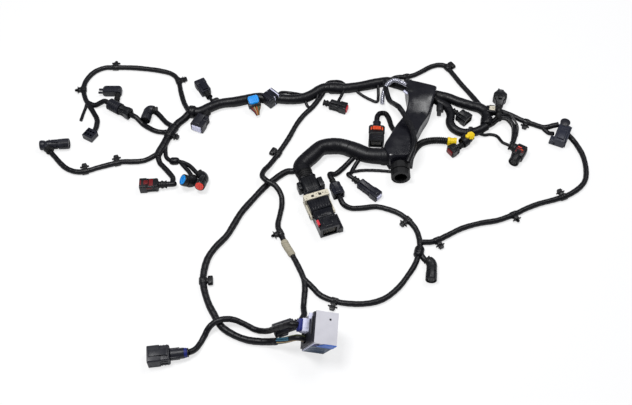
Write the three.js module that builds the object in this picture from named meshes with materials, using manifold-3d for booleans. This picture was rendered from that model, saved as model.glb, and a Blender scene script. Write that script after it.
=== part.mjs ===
// A car's wiring harness laid out flat: taped bundles, sleeved leads, moulded plugs, push-in clips and a control module.
// Millimetres. X runs along the upper trunk, Y runs away from the module, Z is up and the harness lies on Z = 0.
import * as THREE from 'three'
import { mergeVertices } from 'three/addons/utils/BufferGeometryUtils.js'
import Module from 'manifold-3d'

const wasm = await Module()
wasm.setup()

// Driving dimensions of the cables
const gap = 0.3
const trunkD = 20
const sideTrunkD = 15
const bundleD = 17
const stoutLeadD = 12
const leadD = 10
const thinLeadD = 8
const wireD = 6
const sleeveD = 31
const conduitD = 14
const tapeT = 1.5
const creamWrap = 38
const ringKnot = { length: 22, extra: 4 }

// Driving dimensions of the plugs
const wall = 2
const collarStep = 1.2
const bevel = 1.5
const socketDepth = 9
const lockTravel = 3
const leadIn = 14

// Driving dimensions of the main plug
const mainHeight = 30
const mainWidth = 40
const mainLength = 84
const mainBootLength = 52
const mainSocketDepth = 18
const leverPlate = 3
const leverBar = { from: 7, to: 19 }
const leverPin = { x: 44, diameter: 7 }
const sliderTab = { x: mainLength - 22, length: 11, width: 4, height: 5.5 }
const sliderTravel = 4

// Driving dimensions of the control module
const moduleSize = new THREE.Vector3(37, 52, 68)
const sheetT = 1.6
const ventHole = { x: 24, y: 40, radius: 2 }
const moduleLean = THREE.MathUtils.degToRad(18)
const moduleNod = THREE.MathUtils.degToRad(14)

// Driving dimensions of the cable duct and the round grommet at its end
const ductHeight = 37
const ductWall = 3
const grommetD = 36
const grommetHole = { diameter: 24, depth: 24 }

const plastic = (color, roughness = 0.5) => new THREE.MeshStandardMaterial({ color, roughness, metalness: 0 })
const black = plastic('#17181a')
const tape = plastic('#141416', 0.62)
const grey = plastic('#3a3d42')
const rubber = plastic('#101011', 0.8)
const silver = new THREE.MeshStandardMaterial({ color: '#9a9ca3', roughness: 0.35, metalness: 0.8 })
const harness = new THREE.Group()

// Turns a three.js geometry into a solid: shared corners merged, collapsed triangles dropped
function solid(geometry, matrix) {
  geometry.deleteAttribute('normal')
  geometry.deleteAttribute('uv')
  const merged = mergeVertices(geometry, 1e-4)
  if (matrix) merged.applyMatrix4(matrix)
  const corners = merged.index.array
  const kept = []
  for (let i = 0; i < corners.length; i += 3) {
    const [a, b, c] = [corners[i], corners[i + 1], corners[i + 2]]
    if (a !== b && b !== c && c !== a) kept.push(a, b, c)
  }
  const vertProperties = new Float32Array(merged.attributes.position.array)
  return new wasm.Manifold(new wasm.Mesh({ numProp: 3, vertProperties, triVerts: new Uint32Array(kept) }))
}

const join = (...solids) => solids.flat().reduce((whole, one) => whole.add(one))
const largest = (whole) => whole.decompose().sort((a, b) => b.volume() - a.volume())[0]
const moved = (whole, matrix) => whole.transform(matrix.elements)

// Where a piece sits: its rear entry point, the way its nose points in plan, and how far the nose tips up
function spot(x, y, z, turn = 0, tip = 0, roll = 0) {
  const angles = [roll, -tip, turn].map(THREE.MathUtils.degToRad)
  return new THREE.Matrix4().makeRotationFromEuler(new THREE.Euler(...angles, 'ZYX')).setPosition(x, y, z)
}

const at = (place, x = 0, y = 0, z = 0) => new THREE.Vector3(x, y, z).applyMatrix4(place)

// The pieces made so far, where they lie; every new one gives way to those it would run into
const made = []
const sixWays = [[gap, 0, 0], [-gap, 0, 0], [0, gap, 0], [0, -gap, 0], [0, 0, gap], [0, 0, -gap]]
const roomRound = (whole) => join(whole, ...sixWays.map((step) => whole.translate(step)))

// Adds a named piece, built in its own place's frame, as one body; its room is what later pieces leave free for it
function piece(name, shape, material, place = new THREE.Matrix4(), room = undefined) {
  let whole = moved(shape, place)
  for (const other of made) {
    if (!whole.intersect(other.whole).isEmpty()) whole = whole.subtract(other.room ?? roomRound(other.whole))
  }
  whole = largest(whole)
  made.push({ whole, room })
  const { vertProperties, triVerts } = moved(whole, place.clone().invert()).getMesh()
  const geometry = new THREE.BufferGeometry()
  geometry.setAttribute('position', new THREE.BufferAttribute(vertProperties, 3))
  geometry.setIndex(new THREE.BufferAttribute(triVerts, 1))
  geometry.computeVertexNormals()
  const mesh = new THREE.Mesh(geometry, material)
  mesh.name = name
  mesh.applyMatrix4(place)
  harness.add(mesh)
}

// Sections carried along X: their width lies along Y and their height along Z
const alongX = new THREE.Matrix4().makeBasis(
  new THREE.Vector3(0, 1, 0), new THREE.Vector3(0, 0, 1), new THREE.Vector3(1, 0, 0))

function block(x0, x1, width, height, { y = 0, z = 0, cut = 0 } = {}) {
  const [w, h] = [width / 2, height / 2]
  const corners = cut
    ? [[w - cut, -h], [w, cut - h], [w, h - cut], [w - cut, h], [cut - w, h], [-w, h - cut], [-w, cut - h], [cut - w, -h]]
    : [[w, -h], [w, h], [-w, h], [-w, -h]]
  const section = new THREE.Shape(corners.map(([a, b]) => new THREE.Vector2(a, b)))
  const bar = new THREE.ExtrudeGeometry(section, { depth: x1 - x0, bevelEnabled: false })
  return solid(bar, new THREE.Matrix4().makeTranslation(x0, y, z).multiply(alongX))
}

// A turned shape round X, from [x, radius] pairs
function drum(profile, sides = 10, { y = 0, z = 0 } = {}) {
  const ends = [[profile[0][0], 0], ...profile, [profile.at(-1)[0], 0]]
  const lathe = new THREE.LatheGeometry(ends.map(([x, r]) => new THREE.Vector2(r, x)), sides)
  const turn = new THREE.Matrix4().makeRotationZ(-Math.PI / 2)
  return solid(lathe, new THREE.Matrix4().makeTranslation(0, y, z).multiply(turn))
}

// A boot with rings round it
function boot(x0, x1, diameter, rings = 3, { y = 0, z = 0 } = {}) {
  const pitch = (x1 - x0) / (2 * rings + 1)
  const profile = []
  for (let i = 0; i <= 2 * rings; i++) {
    const r = diameter / 2 - (i % 2 ? 1 : 0)
    profile.push([x0 + i * pitch, r], [x0 + (i + 1) * pitch, r])
  }
  return drum(profile, 8, { y, z })
}

// A cable's route: points in plan, each with its centre's height above the floor where it is not just lying there
function way(diameter, points) {
  return new THREE.CatmullRomCurve3(points.map((p) =>
    p.isVector3 ? p : new THREE.Vector3(p[0], p[1], p[2] ?? diameter / 2)))
}

// A tube of eight sides or more, with a step every three diameters, made wider by `more` where it is a room
function tube(route, diameter, more = 0, sides = 8) {
  const ring = []
  for (let i = 0; i < sides; i++) {
    const angle = (2 * Math.PI * i) / sides
    ring.push(new THREE.Vector2(Math.cos(angle), Math.sin(angle)).multiplyScalar((diameter + more) / 2))
  }
  const steps = THREE.MathUtils.clamp(Math.ceil(route.getLength() / (3 * diameter)), 4, 80)
  return solid(new THREE.ExtrudeGeometry(new THREE.Shape(ring), { steps, extrudePath: route, bevelEnabled: false }))
}

// The frame of a cable at a share of its length: X along it, Z as near up as it goes
function along(route, share) {
  const x = route.getTangentAt(share)
  const y = new THREE.Vector3(0, 0, 1).cross(x).normalize()
  return new THREE.Matrix4().makeBasis(x, y, x.clone().cross(y)).setPosition(route.getPointAt(share))
}

// A wrap of tape round a cable, all its extra thickness on top, since both lie on the floor
const wrap = (route, share, length, core, extra) =>
  moved(drum([[-length / 2, core / 2 + extra], [length / 2, core / 2 + extra]], 8, { z: extra }), along(route, share))

// A cable, built by a function of how much wider than the cable it has to be, so that its room is the same shape
const cable = (name, build, material, extras = []) =>
  piece(name, join(build(0), extras), material, undefined, join(build(2 * gap), extras))

// A push-in clip strapped round a cable, its stem square to the cable on the given side
function clip(route, share, diameter, side) {
  const r = diameter / 2
  const strap = block(-6, 6, diameter + 3, diameter + 1, { z: 0.5 })
  const stem = block(-2.5, 2.5, 9, 5, { y: side * (r + 5) })
  const head = block(-8, 8, 3, 5, { y: side * (r + 11) })
  return moved(join(strap, stem, head), along(route, share))
}

// The room a plug's axis needs above the floor, so that its collar rests on it
const axisOf = (p) => Math.max(p.height / 2 + collarStep, p.bootD / 2)

// A moulded plug: ringed boot, housing, collar round an open socket with a tongue in it, latch on top
function plug(p) {
  const end = p.boot + p.length
  const inner = [p.width - 2 * wall, p.height - 2 * wall]
  const body = join(
    boot(0, p.boot + 1, p.bootD, p.rings ?? 1),
    block(p.boot, end, p.width, p.height, { cut: bevel }),
    block(end - p.collar, end, p.width + 2 * collarStep, p.height + 2 * collarStep, { cut: bevel }),
    block(p.boot + 3, end - 3, p.width * 0.4, collarStep * 2, { z: p.height / 2 + collarStep }))
  const socket = block(end - socketDepth, end + 1, ...inner)
  const tongue = block(end - socketDepth - 1, end - 2, inner[0] - 4, inner[1] - 5)
  return body.subtract(socket).add(tongue)
}

// A round plug: boot, barrel with a shoulder, and an open mouth with a core in it
function roundPlug(p) {
  const end = p.boot + p.length
  const r = p.width / 2
  const body = join(
    boot(0, p.boot + 1, p.bootD, p.rings ?? 1),
    drum([[p.boot, r - 2], [p.boot + p.length * 0.4, r - 2], [p.boot + p.length * 0.4, r], [end, r]], 12))
  return body.subtract(drum([[end - socketDepth, r - wall], [end + 1, r - wall]], 12))
    .add(drum([[end - socketDepth - 1, r - wall - 2], [end - 1, r - wall - 2]], 8))
}

const plugPlace = (p) => spot(...p.at, p.axis ?? axisOf(p), p.turn, p.tip ?? 0)

// The two points that bring a cable straight into a plug's rear
const into = (place, x = 0) => [at(place, x - leadIn), at(place, x - gap)]
const outOf = (place, x = 0) => into(place, x).reverse()

// The plugs: where the rear sits in plan, the way the nose points, and the sizes of each
const plugs = {
  hooked: { at: [-202, 233], turn: 120, boot: 13, bootD: 13, length: 34, width: 20, height: 16, collar: 12 },
  white_faced: { at: [-203, 193], turn: -114, boot: 14, bootD: 15, length: 31, width: 24, height: 18, collar: 16 },
  red_ended: { at: [24, 220], turn: -20, boot: 13, bootD: 13, length: 35, width: 17, height: 15, collar: 14 },
  red_locked: { at: [-266, 19], turn: -176, boot: 15, bootD: 15, length: 34, width: 20, height: 17, collar: 13 },
  round_mouthed: { at: [-19, -266], turn: -159, boot: 8, bootD: 15, length: 36, width: 24, height: 24 },
  great: { at: [-197, -319], turn: -173, boot: 30, bootD: 15, length: 36, width: 27, height: 21, collar: 20, rings: 3 },
  small_white: { at: [79, 33], turn: -43, boot: 14, bootD: 13, length: 47, width: 17, height: 14, collar: 16 },
  orange_locked: { at: [127, 166], turn: -94, boot: 15, bootD: 16, length: 38, width: 27, height: 20, collar: 14 },
  stepped: { at: [-396, 213], turn: -32, boot: 25, bootD: 24, length: 26, width: 17, height: 15, collar: 10 },
  side: { at: [39, 29], turn: -71, boot: 10, bootD: 12, length: 28, width: 19, height: 16, collar: 14 },
  mid_right: { at: [278, 199], turn: -45, boot: 14, bootD: 11, length: 24, width: 22, height: 16, collar: 12 },
  upright: { at: [363, 174], turn: 80, boot: 40, bootD: 14, length: 36, width: 24, height: 20, collar: 24, rings: 3 },
  yellow_round: { at: [307, 131], turn: -140, boot: 6, bootD: 14, length: 20, width: 21, height: 21 },
  red_orange: { at: [287, 112], turn: -145, boot: 12, bootD: 12, length: 18, width: 18, height: 16, collar: 10 },
}
const place = Object.fromEntries(Object.entries(plugs).map(([name, p]) => [name, plugPlace(p)]))

// The main plug sits on its boot's axis, so the big sleeve runs straight into it
const mainPlace = spot(5, -9, sleeveD / 2, -70)
const [modW, modD, modH] = moduleSize.toArray()
const modulePlace = new THREE.Matrix4()
  .makeRotationFromEuler(new THREE.Euler(moduleNod, moduleLean, 0, 'YXZ'))
modulePlace.setPosition(new THREE.Vector3(21, -315.5, 0).sub(at(modulePlace, modW)))

// The collar at the end of the conduit, and the bracket at the far right
const collarPlace = spot(260, 122, 8.5, -8)
const bracketPlace = spot(469, 112, 10, 65)

// Where the far right plug's arm starts, and the way it points
const farRight = [377, 110, 10, -32]

// Heights of cables that pass over each other
const overStout = stoutLeadD + leadD / 2 + 2 * gap
const overDuct = ductHeight + leadD / 2 + 2 * gap
const trunkZ = trunkD / 2

// Routes of the cables
const route = {
  trunk: way(trunkD, [[-240, 195], [-220, 194], [-199, 206], [-184, 214], [-169, 218], [-153, 220], [-137, 224],
    [-122, 228], [-102, 231], [-86, 228], [-68, 229], [-48, 227], [-31, 227], [-11, 232], [2, 240], [15, 251],
    [27, 257], [41, 257], [65, 256], [87, 259], [109, 264], [131, 270], [152, 274], [171, 268], [193, 257],
    [213, 247], [236, 241], [252, 236], [272, 230], [290, 220], [316, 209], [332, 203], [340, 193], [341, 177],
    [338, 160]]),
  sideTrunk: way(sideTrunkD, [[-236, 194, trunkZ], [-248, 179], [-258, 168], [-267, 153], [-273, 139], [-278, 123],
    [-282, 111], [-288, 96], [-291, 85]]),
  bundle: way(bundleD, [[232, 242, trunkZ], [251, 222], [267, 208], [272, 187], [269, 168], [275, 153], [290, 143],
    [307, 143], [322, 148], [338, 158, trunkZ]]),
  loop: way(leadD, [[-240, 196, trunkZ], [-252, 222], [-261, 251], [-270, 284], [-284, 300], [-309, 309], [-330, 313],
    [-361, 317], [-392, 318], [-408, 318], [-422, 317], [-441, 306], [-454, 284], [-457, 262], [-450, 235],
    [-440, 217], [-429, 199], [-418, 178], [-417, 160], [-419, 149]]),
  loopTail: way(wireD, [[-444, 226, leadD / 2], [-446, 210], [-448, 196], [-450, 178]]),
  loopBranch: way(leadD, [[-443, 222], [-428, 216], ...into(place.stepped)]),
  inline: way(leadD, [...outOf(spot(...noseOf('stepped'))), [-327, 167], [-315, 158], [-301, 150], [-288, 147],
    [-270, 146, sideTrunkD / 2]]),
  boot: way(leadD, [[-304, 197], [-296, 188], [-289, 179], [-281, 170], [-264, 157, sideTrunkD / 2]]),
  farLeft: way(leadD, [[-291, 92, sideTrunkD / 2], [-301, 86], [-312, 79], [-323, 76], [-341, 75], [-354, 75],
    [-366, 72], [-385, 66], [-402, 60], [-414, 55], [-424, 52], [-434, 51], [-445, 53], [-459, 60], [-472, 72],
    [-485, 87], [-494, 97]]),
  redLock: way(leadD, [[-290, 90, sideTrunkD / 2], [-285, 73], [-276, 62], [-266, 50], [-257, 37], [-256, 25],
    ...into(place.red_locked)]),
  pair: way(thinLeadD, [[-278, 123, sideTrunkD / 2], [-277, 100], [-273, 85], [-263, 78], [-252, 77], [-239, 73],
    [-228, 66], [-219, 56], [-209, 44]]),
  pairBranch: way(thinLeadD, [[-247, 76], [-237, 63], [-227, 50], [-219, 34]]),
  diagonal: way(leadD, [[28, 258, trunkZ], [21, 244], [13, 229], [1, 210], [-15, 190], [-28, 168], [-43, 133],
    [-58, 103], [-68, 84], [-79, 63, 9], [-88, 46, overStout - 3], [-90, 32, overStout], [-82, 22, overStout],
    [-66, 12, overStout - 2], [-55, -4, 9], [-53, -24], [-56, -46], [-59, -70], [-51, -93], [-44, -110], [-33, -130],
    [-22, -153], [-12, -179], [-10, -196], [-11, -216], [-12, -234], [-11, -250, 9], ...into(place.round_mouthed).slice(1)]),
  ring: way(leadD, [[-12, -179], [2, -194], [16, -210], [33, -219], [49, -224], [61, -226], [86, -227], [110, -223],
    [129, -214], [151, -194], [167, -172], [181, -149], [190, -122], [192, -102], [187, -77], [174, -57], [159, -43],
    [138, -33], [118, -28], [92, -31], [72, -31], [60, -26, 8], ...into(spot(...noseOf('side')))]),
  ringTail: way(leadD, [[190, -122], [195, -135], [201, -143]]),
  long: way(stoutLeadD, [[-8, 52, 12], [-34, 52], [-45, 51], [-58, 42], [-71, 30], [-80, 22], [-90, 10], [-103, -8],
    [-126, -42], [-138, -68], [-149, -91], [-168, -116], [-179, -137], [-184, -163], [-184, -185], [-180, -204],
    [-171, -229], [-163, -244], [-147, -270], [-126, -285], [-104, -294], [-83, -297], [-62, -300, 12],
    [-42, -305, 27], at(modulePlace, -16, 14, 26), at(modulePlace, -3 - gap, 14, 26)]),
  great: way(leadD, [at(modulePlace, -20 - gap, 32, 36), at(modulePlace, -30, 32, 36), [-50, -289, 42], [-72, -283, 16], [-91, -275], [-108, -267, 8], [-127, -261, overStout - 4],
    [-142, -262, overStout], [-155, -266, overStout], [-167, -275, overStout - 5], [-175, -288], [-181, -301],
    [-188, -313, 9], at(place.great, -gap)]),
  sleeve: way(sleeveD, [at(mainPlace, -mainBootLength - gap), at(mainPlace, -mainBootLength - 16), [3, 83], [19, 100],
    [37, 104], [58, 103], [83, 93], [105, 83], [129, 80], [158, 79]]),
  sideLead: way(leadD, [[88, 88, sleeveD / 2], [67, 69], [56, 56], [45, 46], ...into(place.side)]),
  orange: way(leadD, [...outOf(place.orange_locked), [134, 191, 9], [145, 194], [151, 182], [156, 160], [168, 134, 12]]),
  white: way(thinLeadD, [[96, 84, sleeveD / 2], [80, 62], [74, 49], ...into(place.small_white)]),
  cross: way(wireD, [[77, 52, thinLeadD / 2], [95, 56], [121, 56], [152, 53]]),
  upper: way(leadD, [[150, 272, trunkZ], [171, 290], [191, 292], [206, 296], [223, 306], [244, 320], [261, 325],
    [273, 322], [282, 309], [291, 292], [299, 276], [318, 243], [336, 203, trunkZ]]),
  right: way(leadD, [[334, 203, trunkZ], [356, 208], [374, 199], [393, 189], [412, 176], [433, 166], [451, 159],
    [468, 158, 12], [477, 159, 14]]),
  rightBranch: way(thinLeadD, [[447, 161], [458, 146], [466, 141, 8]]),
  farRight: way(leadD, [[490, 140, 10], [502, 127], [508, 112], [514, 89], [514, 56], [508, 32], [496, 16], [471, -2],
    [445, -12], [413, -22], [388, -33], [372, -42], [355, -50], [334, -58], [303, -64], [269, -75], [240, -91],
    [216, -103], [190, -104]]),
  arch: way(leadD, [[338, 158, trunkZ], [351, 168], [368, 180, 9], [381, 178, 9], [391, 165], [393, 148], [389, 130],
    [384, 119]]),
  tail: way(wireD, [[316, 145, bundleD / 2], [333, 141, 4], [346, 143], [357, 139], ...into(spot(...farRight))]),
  conduit: way(conduitD, [[184, 74], [190, 90], [198, 105], [210, 118], [227, 124], ...into(collarPlace)]),
  strap: way(leadD, [[146, 268, trunkD - 2], [148, 238, 22], [153, 214, 22], [162, 190, overDuct - 6],
    [168, 178, overDuct], [177, 159, overDuct], [189, 124, overDuct], [192, 96, overDuct], [188, 74, overDuct],
    [178, 52, 34]]),
  silver: way(leadD, [[140, 220], [142, 237, 12], [149, 252, 23], [164, 262, 27], [178, 257, 27], [190, 248, 27],
    [202, 240, 20]]),
}

// The point in front of a plug's face, turned round so that a cable can leave it
function noseOf(name) {
  const p = plugs[name]
  const face = at(plugPlace(p), p.boot + p.length)
  return [face.x, face.y, face.z, p.turn + 180]
}

// Small blocks and knots along a cable
const knob = (name, share, size, shift = {}) =>
  moved(block(-size[0] / 2, size[0] / 2, size[1], size[2], { cut: bevel, ...shift }), along(route[name], share))

// Control module: folded cover open to the left, housing with two sockets inside it, plug in the upper one
const moduleBlock = (x0, x1, inset) => block(x0, x1, modD - 2 * inset, modH - 2 * inset, { y: modD / 2, z: modH / 2 })
const upperSocket = { y: 32, z: 36 }
const lowerSocket = { y: 14, z: 26 }
piece('module_cover', moduleBlock(0, modW, 0).subtract(moduleBlock(-1, modW - sheetT, sheetT))
  .subtract(moved(drum([[-3, ventHole.radius], [3, ventHole.radius]]), spot(ventHole.x, ventHole.y, modH, 0, 90))),
plastic('#c9cbd0', 0.4), modulePlace)
piece('module_housing', moduleBlock(-3, modW - sheetT - gap, sheetT + gap)
  .subtract(join(block(-4, 8, 18, 14, upperSocket), block(-4, -1, 15, 15, lowerSocket))), plastic('#20242c'), modulePlace)
piece('module_plug', join(block(-20, -3 - gap, 22, 18, { ...upperSocket, cut: bevel }),
  block(-4, 6, 18 - 2 * gap, 14 - 2 * gap, upperSocket)), plastic('#c8ccd6', 0.4), modulePlace)

// Main plug: housing with pins for the lever, side rail, socket and slot for the slider
const half = mainWidth / 2
const frontHalf = half - 2
const frontTop = mainHeight / 2 - 2
const pins = (radius, reach) => join(...[-90, 90].map((turn) =>
  moved(drum([[0, radius], [reach, radius]]), spot(leverPin.x, 0, 0, turn))))
const sliderAt = { y: -frontHalf + sliderTab.width / 2, z: frontTop - sliderTab.height / 2 }
const sliderSlot = join(block(sliderTab.x - gap, sliderTab.x + sliderTab.length + sliderTravel + gap,
  2 * (sliderTab.width + gap), 2 * (sliderTab.height + gap), { y: -frontHalf, z: frontTop }))
piece('main_housing', join(
  block(0, mainLength / 2, mainWidth, mainHeight, { cut: bevel }),
  block(mainLength / 2 - 1, mainLength, 2 * frontHalf, 2 * frontTop, { cut: bevel }),
  block(leverPin.x + 9, mainLength + 1, 8, 13, { y: frontHalf + 3, z: -frontTop + 6.5 }),
  pins(leverPin.diameter / 2, half + leverPlate + 1))
  .subtract(join(sliderSlot, block(mainLength - mainSocketDepth, mainLength + 2, 26, 18, { cut: bevel })))
  .add(block(mainLength - mainSocketDepth - 1, mainLength - 3, 20, 11)), black, mainPlace)
piece('main_slider', block(sliderTab.x, sliderTab.x + sliderTab.length, sliderTab.width, sliderTab.height, sliderAt),
  plastic('#b3262b'), mainPlace)

// The lever: a bar over the housing with two square holes, and an arm down each side to the pins
const armY = half + gap + leverPlate / 2
const barZ = mainHeight / 2 + gap + leverPlate / 2
const arms = [-1, 1].map((side) => join(
  block(leverBar.from, leverBar.to, leverPlate, barZ + leverPlate / 2 + 5, { y: side * armY, z: (barZ + leverPlate / 2 - 5) / 2 }),
  block(leverBar.from, leverPin.x, leverPlate, 10, { y: side * armY }),
  moved(drum([[-leverPlate / 2, 6], [leverPlate / 2, 6]]), spot(leverPin.x, side * armY, 0, 90))))
piece('main_lever', join(arms,
  block(leverBar.from, leverBar.to, 2 * armY + leverPlate, leverPlate, { z: barZ }))
  .subtract(join(pins(leverPin.diameter / 2 + gap, half + 2 * leverPlate),
    ...[-7, 7].map((y) => block(leverBar.from + 4, leverBar.to - 3, 5, 12, { y, z: barZ })))),
plastic('#d8d2bf', 0.45), mainPlace)
piece('main_boot', join(
  drum([[-mainBootLength, sleeveD / 2 - 1.5], [-mainBootLength + 16, sleeveD / 2 - 1.5]], 16),
  block(-mainBootLength + 14, -gap, 32, 27, { cut: 5 }),
  block(-28, -8, 10, 22, { y: 20, cut: bevel }),
  block(-30, -14, 8, 20, { y: -19, cut: bevel })), black, mainPlace)

// Upper trunk: one taped bundle from the left junction to the right one, with wires that leave the tape and return
const strays = [
  way(wireD, [[-68, 229, 14], [-61, 243, 12], [-49, 247, 8], [-37, 245, 8], [-20, 236, 14]]),
  way(wireD, [[25, 256, 12], [33, 272, 10], [45, 278, 7], [58, 274, 10], [70, 260, 14]]),
  way(wireD, [[-12, 230, 12], [-9, 215, 6], [-1, 209, 5], [8, 222, 5], [14, 244, 12]]),
  way(wireD, [[80, 262, 12], [96, 247, 5], [116, 232, 4], [130, 226, 4], [133, 240, 5], [133, 262, 12]]),
  way(wireD, [at(place.red_ended, 28, 42, 3), at(place.red_ended, 27, 26), at(place.red_ended, 26, plugs.red_ended.width / 2 + gap)]),
  way(wireD, [...outOf(place.hooked), [-197, 224, 7], [-188, 232, 6], [-184, 226, 8], [-182, 216, trunkZ]]),
]
cable('trunk_upper', (more) => join(tube(route.trunk, trunkD, more), wrap(route.trunk, 0.008, 14, trunkD + more, 2),
  strays.map((one) => tube(one, wireD, more))), tape)
cable('sleeve_main', (more) => join(tube(route.sleeve, sleeveD, more, 10), tube(route.sideLead, leadD, more)), tape)
cable('bundle_right', (more) => join(tube(route.bundle, bundleD, more), tube(route.tail, wireD, more)), tape)
cable('trunk_left', (more) => tube(route.sideTrunk, sideTrunkD, more), tape, [clip(route.sideTrunk, 0.55, sideTrunkD, 1)])

// Sliding locks: a tab in a pocket of the housing, with room to travel
const redTab = { x: 33, length: 8, width: 9, depth: 4, top: 10.5 }
const orangeTab = { x: 19, length: 8, width: 16, depth: 4, top: 13 }
const lockTab = (tab) => block(tab.x, tab.x + tab.length, tab.width, tab.depth, { z: tab.top - tab.depth / 2 })
const lockPocket = (tab) => block(tab.x - gap, tab.x + tab.length + lockTravel + gap, tab.width + 2 * gap,
  2 * (tab.depth + gap), { z: tab.top })
piece('plug_red_locked', plug(plugs.red_locked).subtract(lockPocket(redTab)), black, place.red_locked)
piece('lock_red', lockTab(redTab), plastic('#7a1418'), place.red_locked)
piece('plug_orange_locked', plug(plugs.orange_locked).subtract(lockPocket(orangeTab)), black, place.orange_locked)
piece('lock_orange', lockTab(orangeTab), plastic('#d2431e'), place.orange_locked)

// Straight plugs
const stepped = block(plugs.stepped.boot + 8, plugs.stepped.boot + 18, 22, 12)
piece('plug_stepped', plug(plugs.stepped).add(stepped), black, place.stepped)
piece('plug_hooked', plug(plugs.hooked), black, place.hooked)
piece('plug_white_faced', plug(plugs.white_faced), grey, place.white_faced)
piece('plug_red_ended', plug(plugs.red_ended), black, place.red_ended)
piece('plug_side', plug(plugs.side), black, place.side)
piece('plug_small_white', plug(plugs.small_white), black, place.small_white)
piece('plug_great', plug(plugs.great), grey, place.great)
piece('plug_mid_right', plug(plugs.mid_right), black, place.mid_right)
piece('plug_upright', plug(plugs.upright), black, place.upright)
piece('plug_red_orange', plug(plugs.red_orange), plastic('#c8452c'), place.red_orange)
piece('plug_round_mouthed', roundPlug(plugs.round_mouthed), black, place.round_mouthed)
piece('plug_yellow_round', roundPlug(plugs.yellow_round), black, place.yellow_round)

// Plugs that turn a corner: an arm from the cable, a knee, and a barrel with an open mouth, which may rise
function elbow(p) {
  const r = p.diameter / 2
  const nose = spot(p.arm, 0, 0, p.bend, p.rise ?? 0)
  const knee = moved(drum([[1 - r, r - 1], [r - 1, r - 1]]), spot(p.arm, 0, 0, 0, 90))
  const barrel = drum([[0, r - 1], [p.barrel * 0.6, r - 1], [p.barrel * 0.6, r], [p.barrel, r]], 12)
  const mouth = drum([[p.barrel - p.mouth, r - wall], [p.barrel + 1, r - wall]], 12)
  const core = drum([[p.barrel - p.mouth - 1, r - wall - 2], [p.barrel - 1, r - wall - 2]], 8)
  return join(boot(0, p.arm, p.diameter - 3, 1), knee, moved(barrel, nose))
    .subtract(moved(mouth, nose)).add(moved(core, nose))
}
const elbows = {
  booted_elbow: { at: [-304, 197], turn: 162, diameter: 20, arm: 15, bend: 99, barrel: 30, mouth: 8, material: grey },
  far_left: { at: [-494, 97], turn: 132, diameter: 20, arm: 19, bend: -127, barrel: 46, mouth: 8 },
  ring_elbow: { at: [201, -143], turn: -38, diameter: 20, arm: 11, bend: -59, barrel: 35, mouth: 10 },
  red_faced: { at: [-209, 44], turn: -37, diameter: 20, arm: 15, bend: -66, rise: 20, barrel: 31, mouth: 3 },
  blue_faced: { at: [-219, 34], turn: -90, diameter: 22, arm: 12, bend: -78, rise: 40, barrel: 21, mouth: 3 },
  far_right: { at: farRight.slice(0, 2), turn: farRight[3], diameter: 20, arm: 23, bend: -90, barrel: 34, mouth: 9 },
}
for (const [name, p] of Object.entries(elbows)) {
  piece(`plug_${name}`, elbow(p), p.material ?? black, spot(...p.at, p.diameter / 2, p.turn))
}

// Six-way block at the end of the loop lead, its terminals open on top
const sixWay = { length: 20, width: 22, height: 14, hole: 4, pitch: 6 }
const holes = [-1, 1].flatMap((row) => [-1, 0, 1].map((column) => {
  const x = sixWay.length / 2 + row * sixWay.pitch * 0.65
  return block(x - sixWay.hole / 2, x + sixWay.hole / 2, sixWay.hole, sixWay.height,
    { y: column * sixWay.pitch, z: sixWay.height / 2 })
}))
piece('plug_six_way', block(0, sixWay.length, sixWay.width, sixWay.height, { cut: bevel }).subtract(join(holes)),
  black, spot(-420, 147, sixWay.height / 2, -120))

// Left elbow plug: a neck up from the ringed boot, a cross bar and two prongs
const bar = { neck: 28, length: 38, depth: 17, height: 17 }
piece('plug_left_elbow', join(
  boot(10, bar.neck + 2, 12, 2),
  block(bar.neck, bar.neck + bar.depth, bar.length, bar.height, { y: bar.length / 2 - 7, cut: bevel }),
  ...[4, 12].map((x) => block(bar.neck + x - 1.5, bar.neck + x + 1.5, 10, 3, { y: bar.length - 4 }))),
black, spot(-385, 214, bar.height / 2, 90))

// Plugs held on the upper trunk: a wire fan with a blue block, and a block that grips the trunk
const fan = new THREE.Shape([[0, -3], [20, -12], [20, 12], [0, 3]].map(([x, y]) => new THREE.Vector2(x, y)))
const wires = solid(new THREE.ExtrudeGeometry(fan, { depth: 8, bevelEnabled: false }), spot(0, 0, -4))
piece('plug_blue_trunk', join(wires, block(19, 42, 24, 14, { cut: bevel })), plastic('#1d7fd0'),
  spot(-104, 187, 7.5, 109, 20))
piece('splice_block', block(-13, 13, 26, 25, { cut: bevel }), black, spot(-80, 228, 12.5, 45))

// Left leads
const clipOn = (name, share, side, diameter = leadD) => clip(route[name], share, diameter, side)
cable('lead_loop_left', (more) => join(tube(route.loop, leadD, more), tube(route.loopTail, wireD, more),
  tube(route.loopBranch, leadD, more)), tape,
[clipOn('loop', 0.2, -1), clipOn('loop', 0.52, -1), clipOn('loop', 0.735, -1)])
cable('lead_inline_left', (more) => tube(route.inline, leadD, more), tape)
cable('lead_booted_elbow', (more) => tube(route.boot, leadD, more), tape)
cable('lead_far_left', (more) => tube(route.farLeft, leadD, more), tape,
  [clipOn('farLeft', 0.345, -1), clipOn('farLeft', 0.61, -1)])
cable('lead_red_locked', (more) => tube(route.redLock, leadD, more), tape)
cable('lead_colour_pair', (more) => join(tube(route.pair, thinLeadD, more), tube(route.pairBranch, thinLeadD, more),
  wrap(route.pair, 0.48, 18, thinLeadD + more, 3)), tape)

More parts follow.
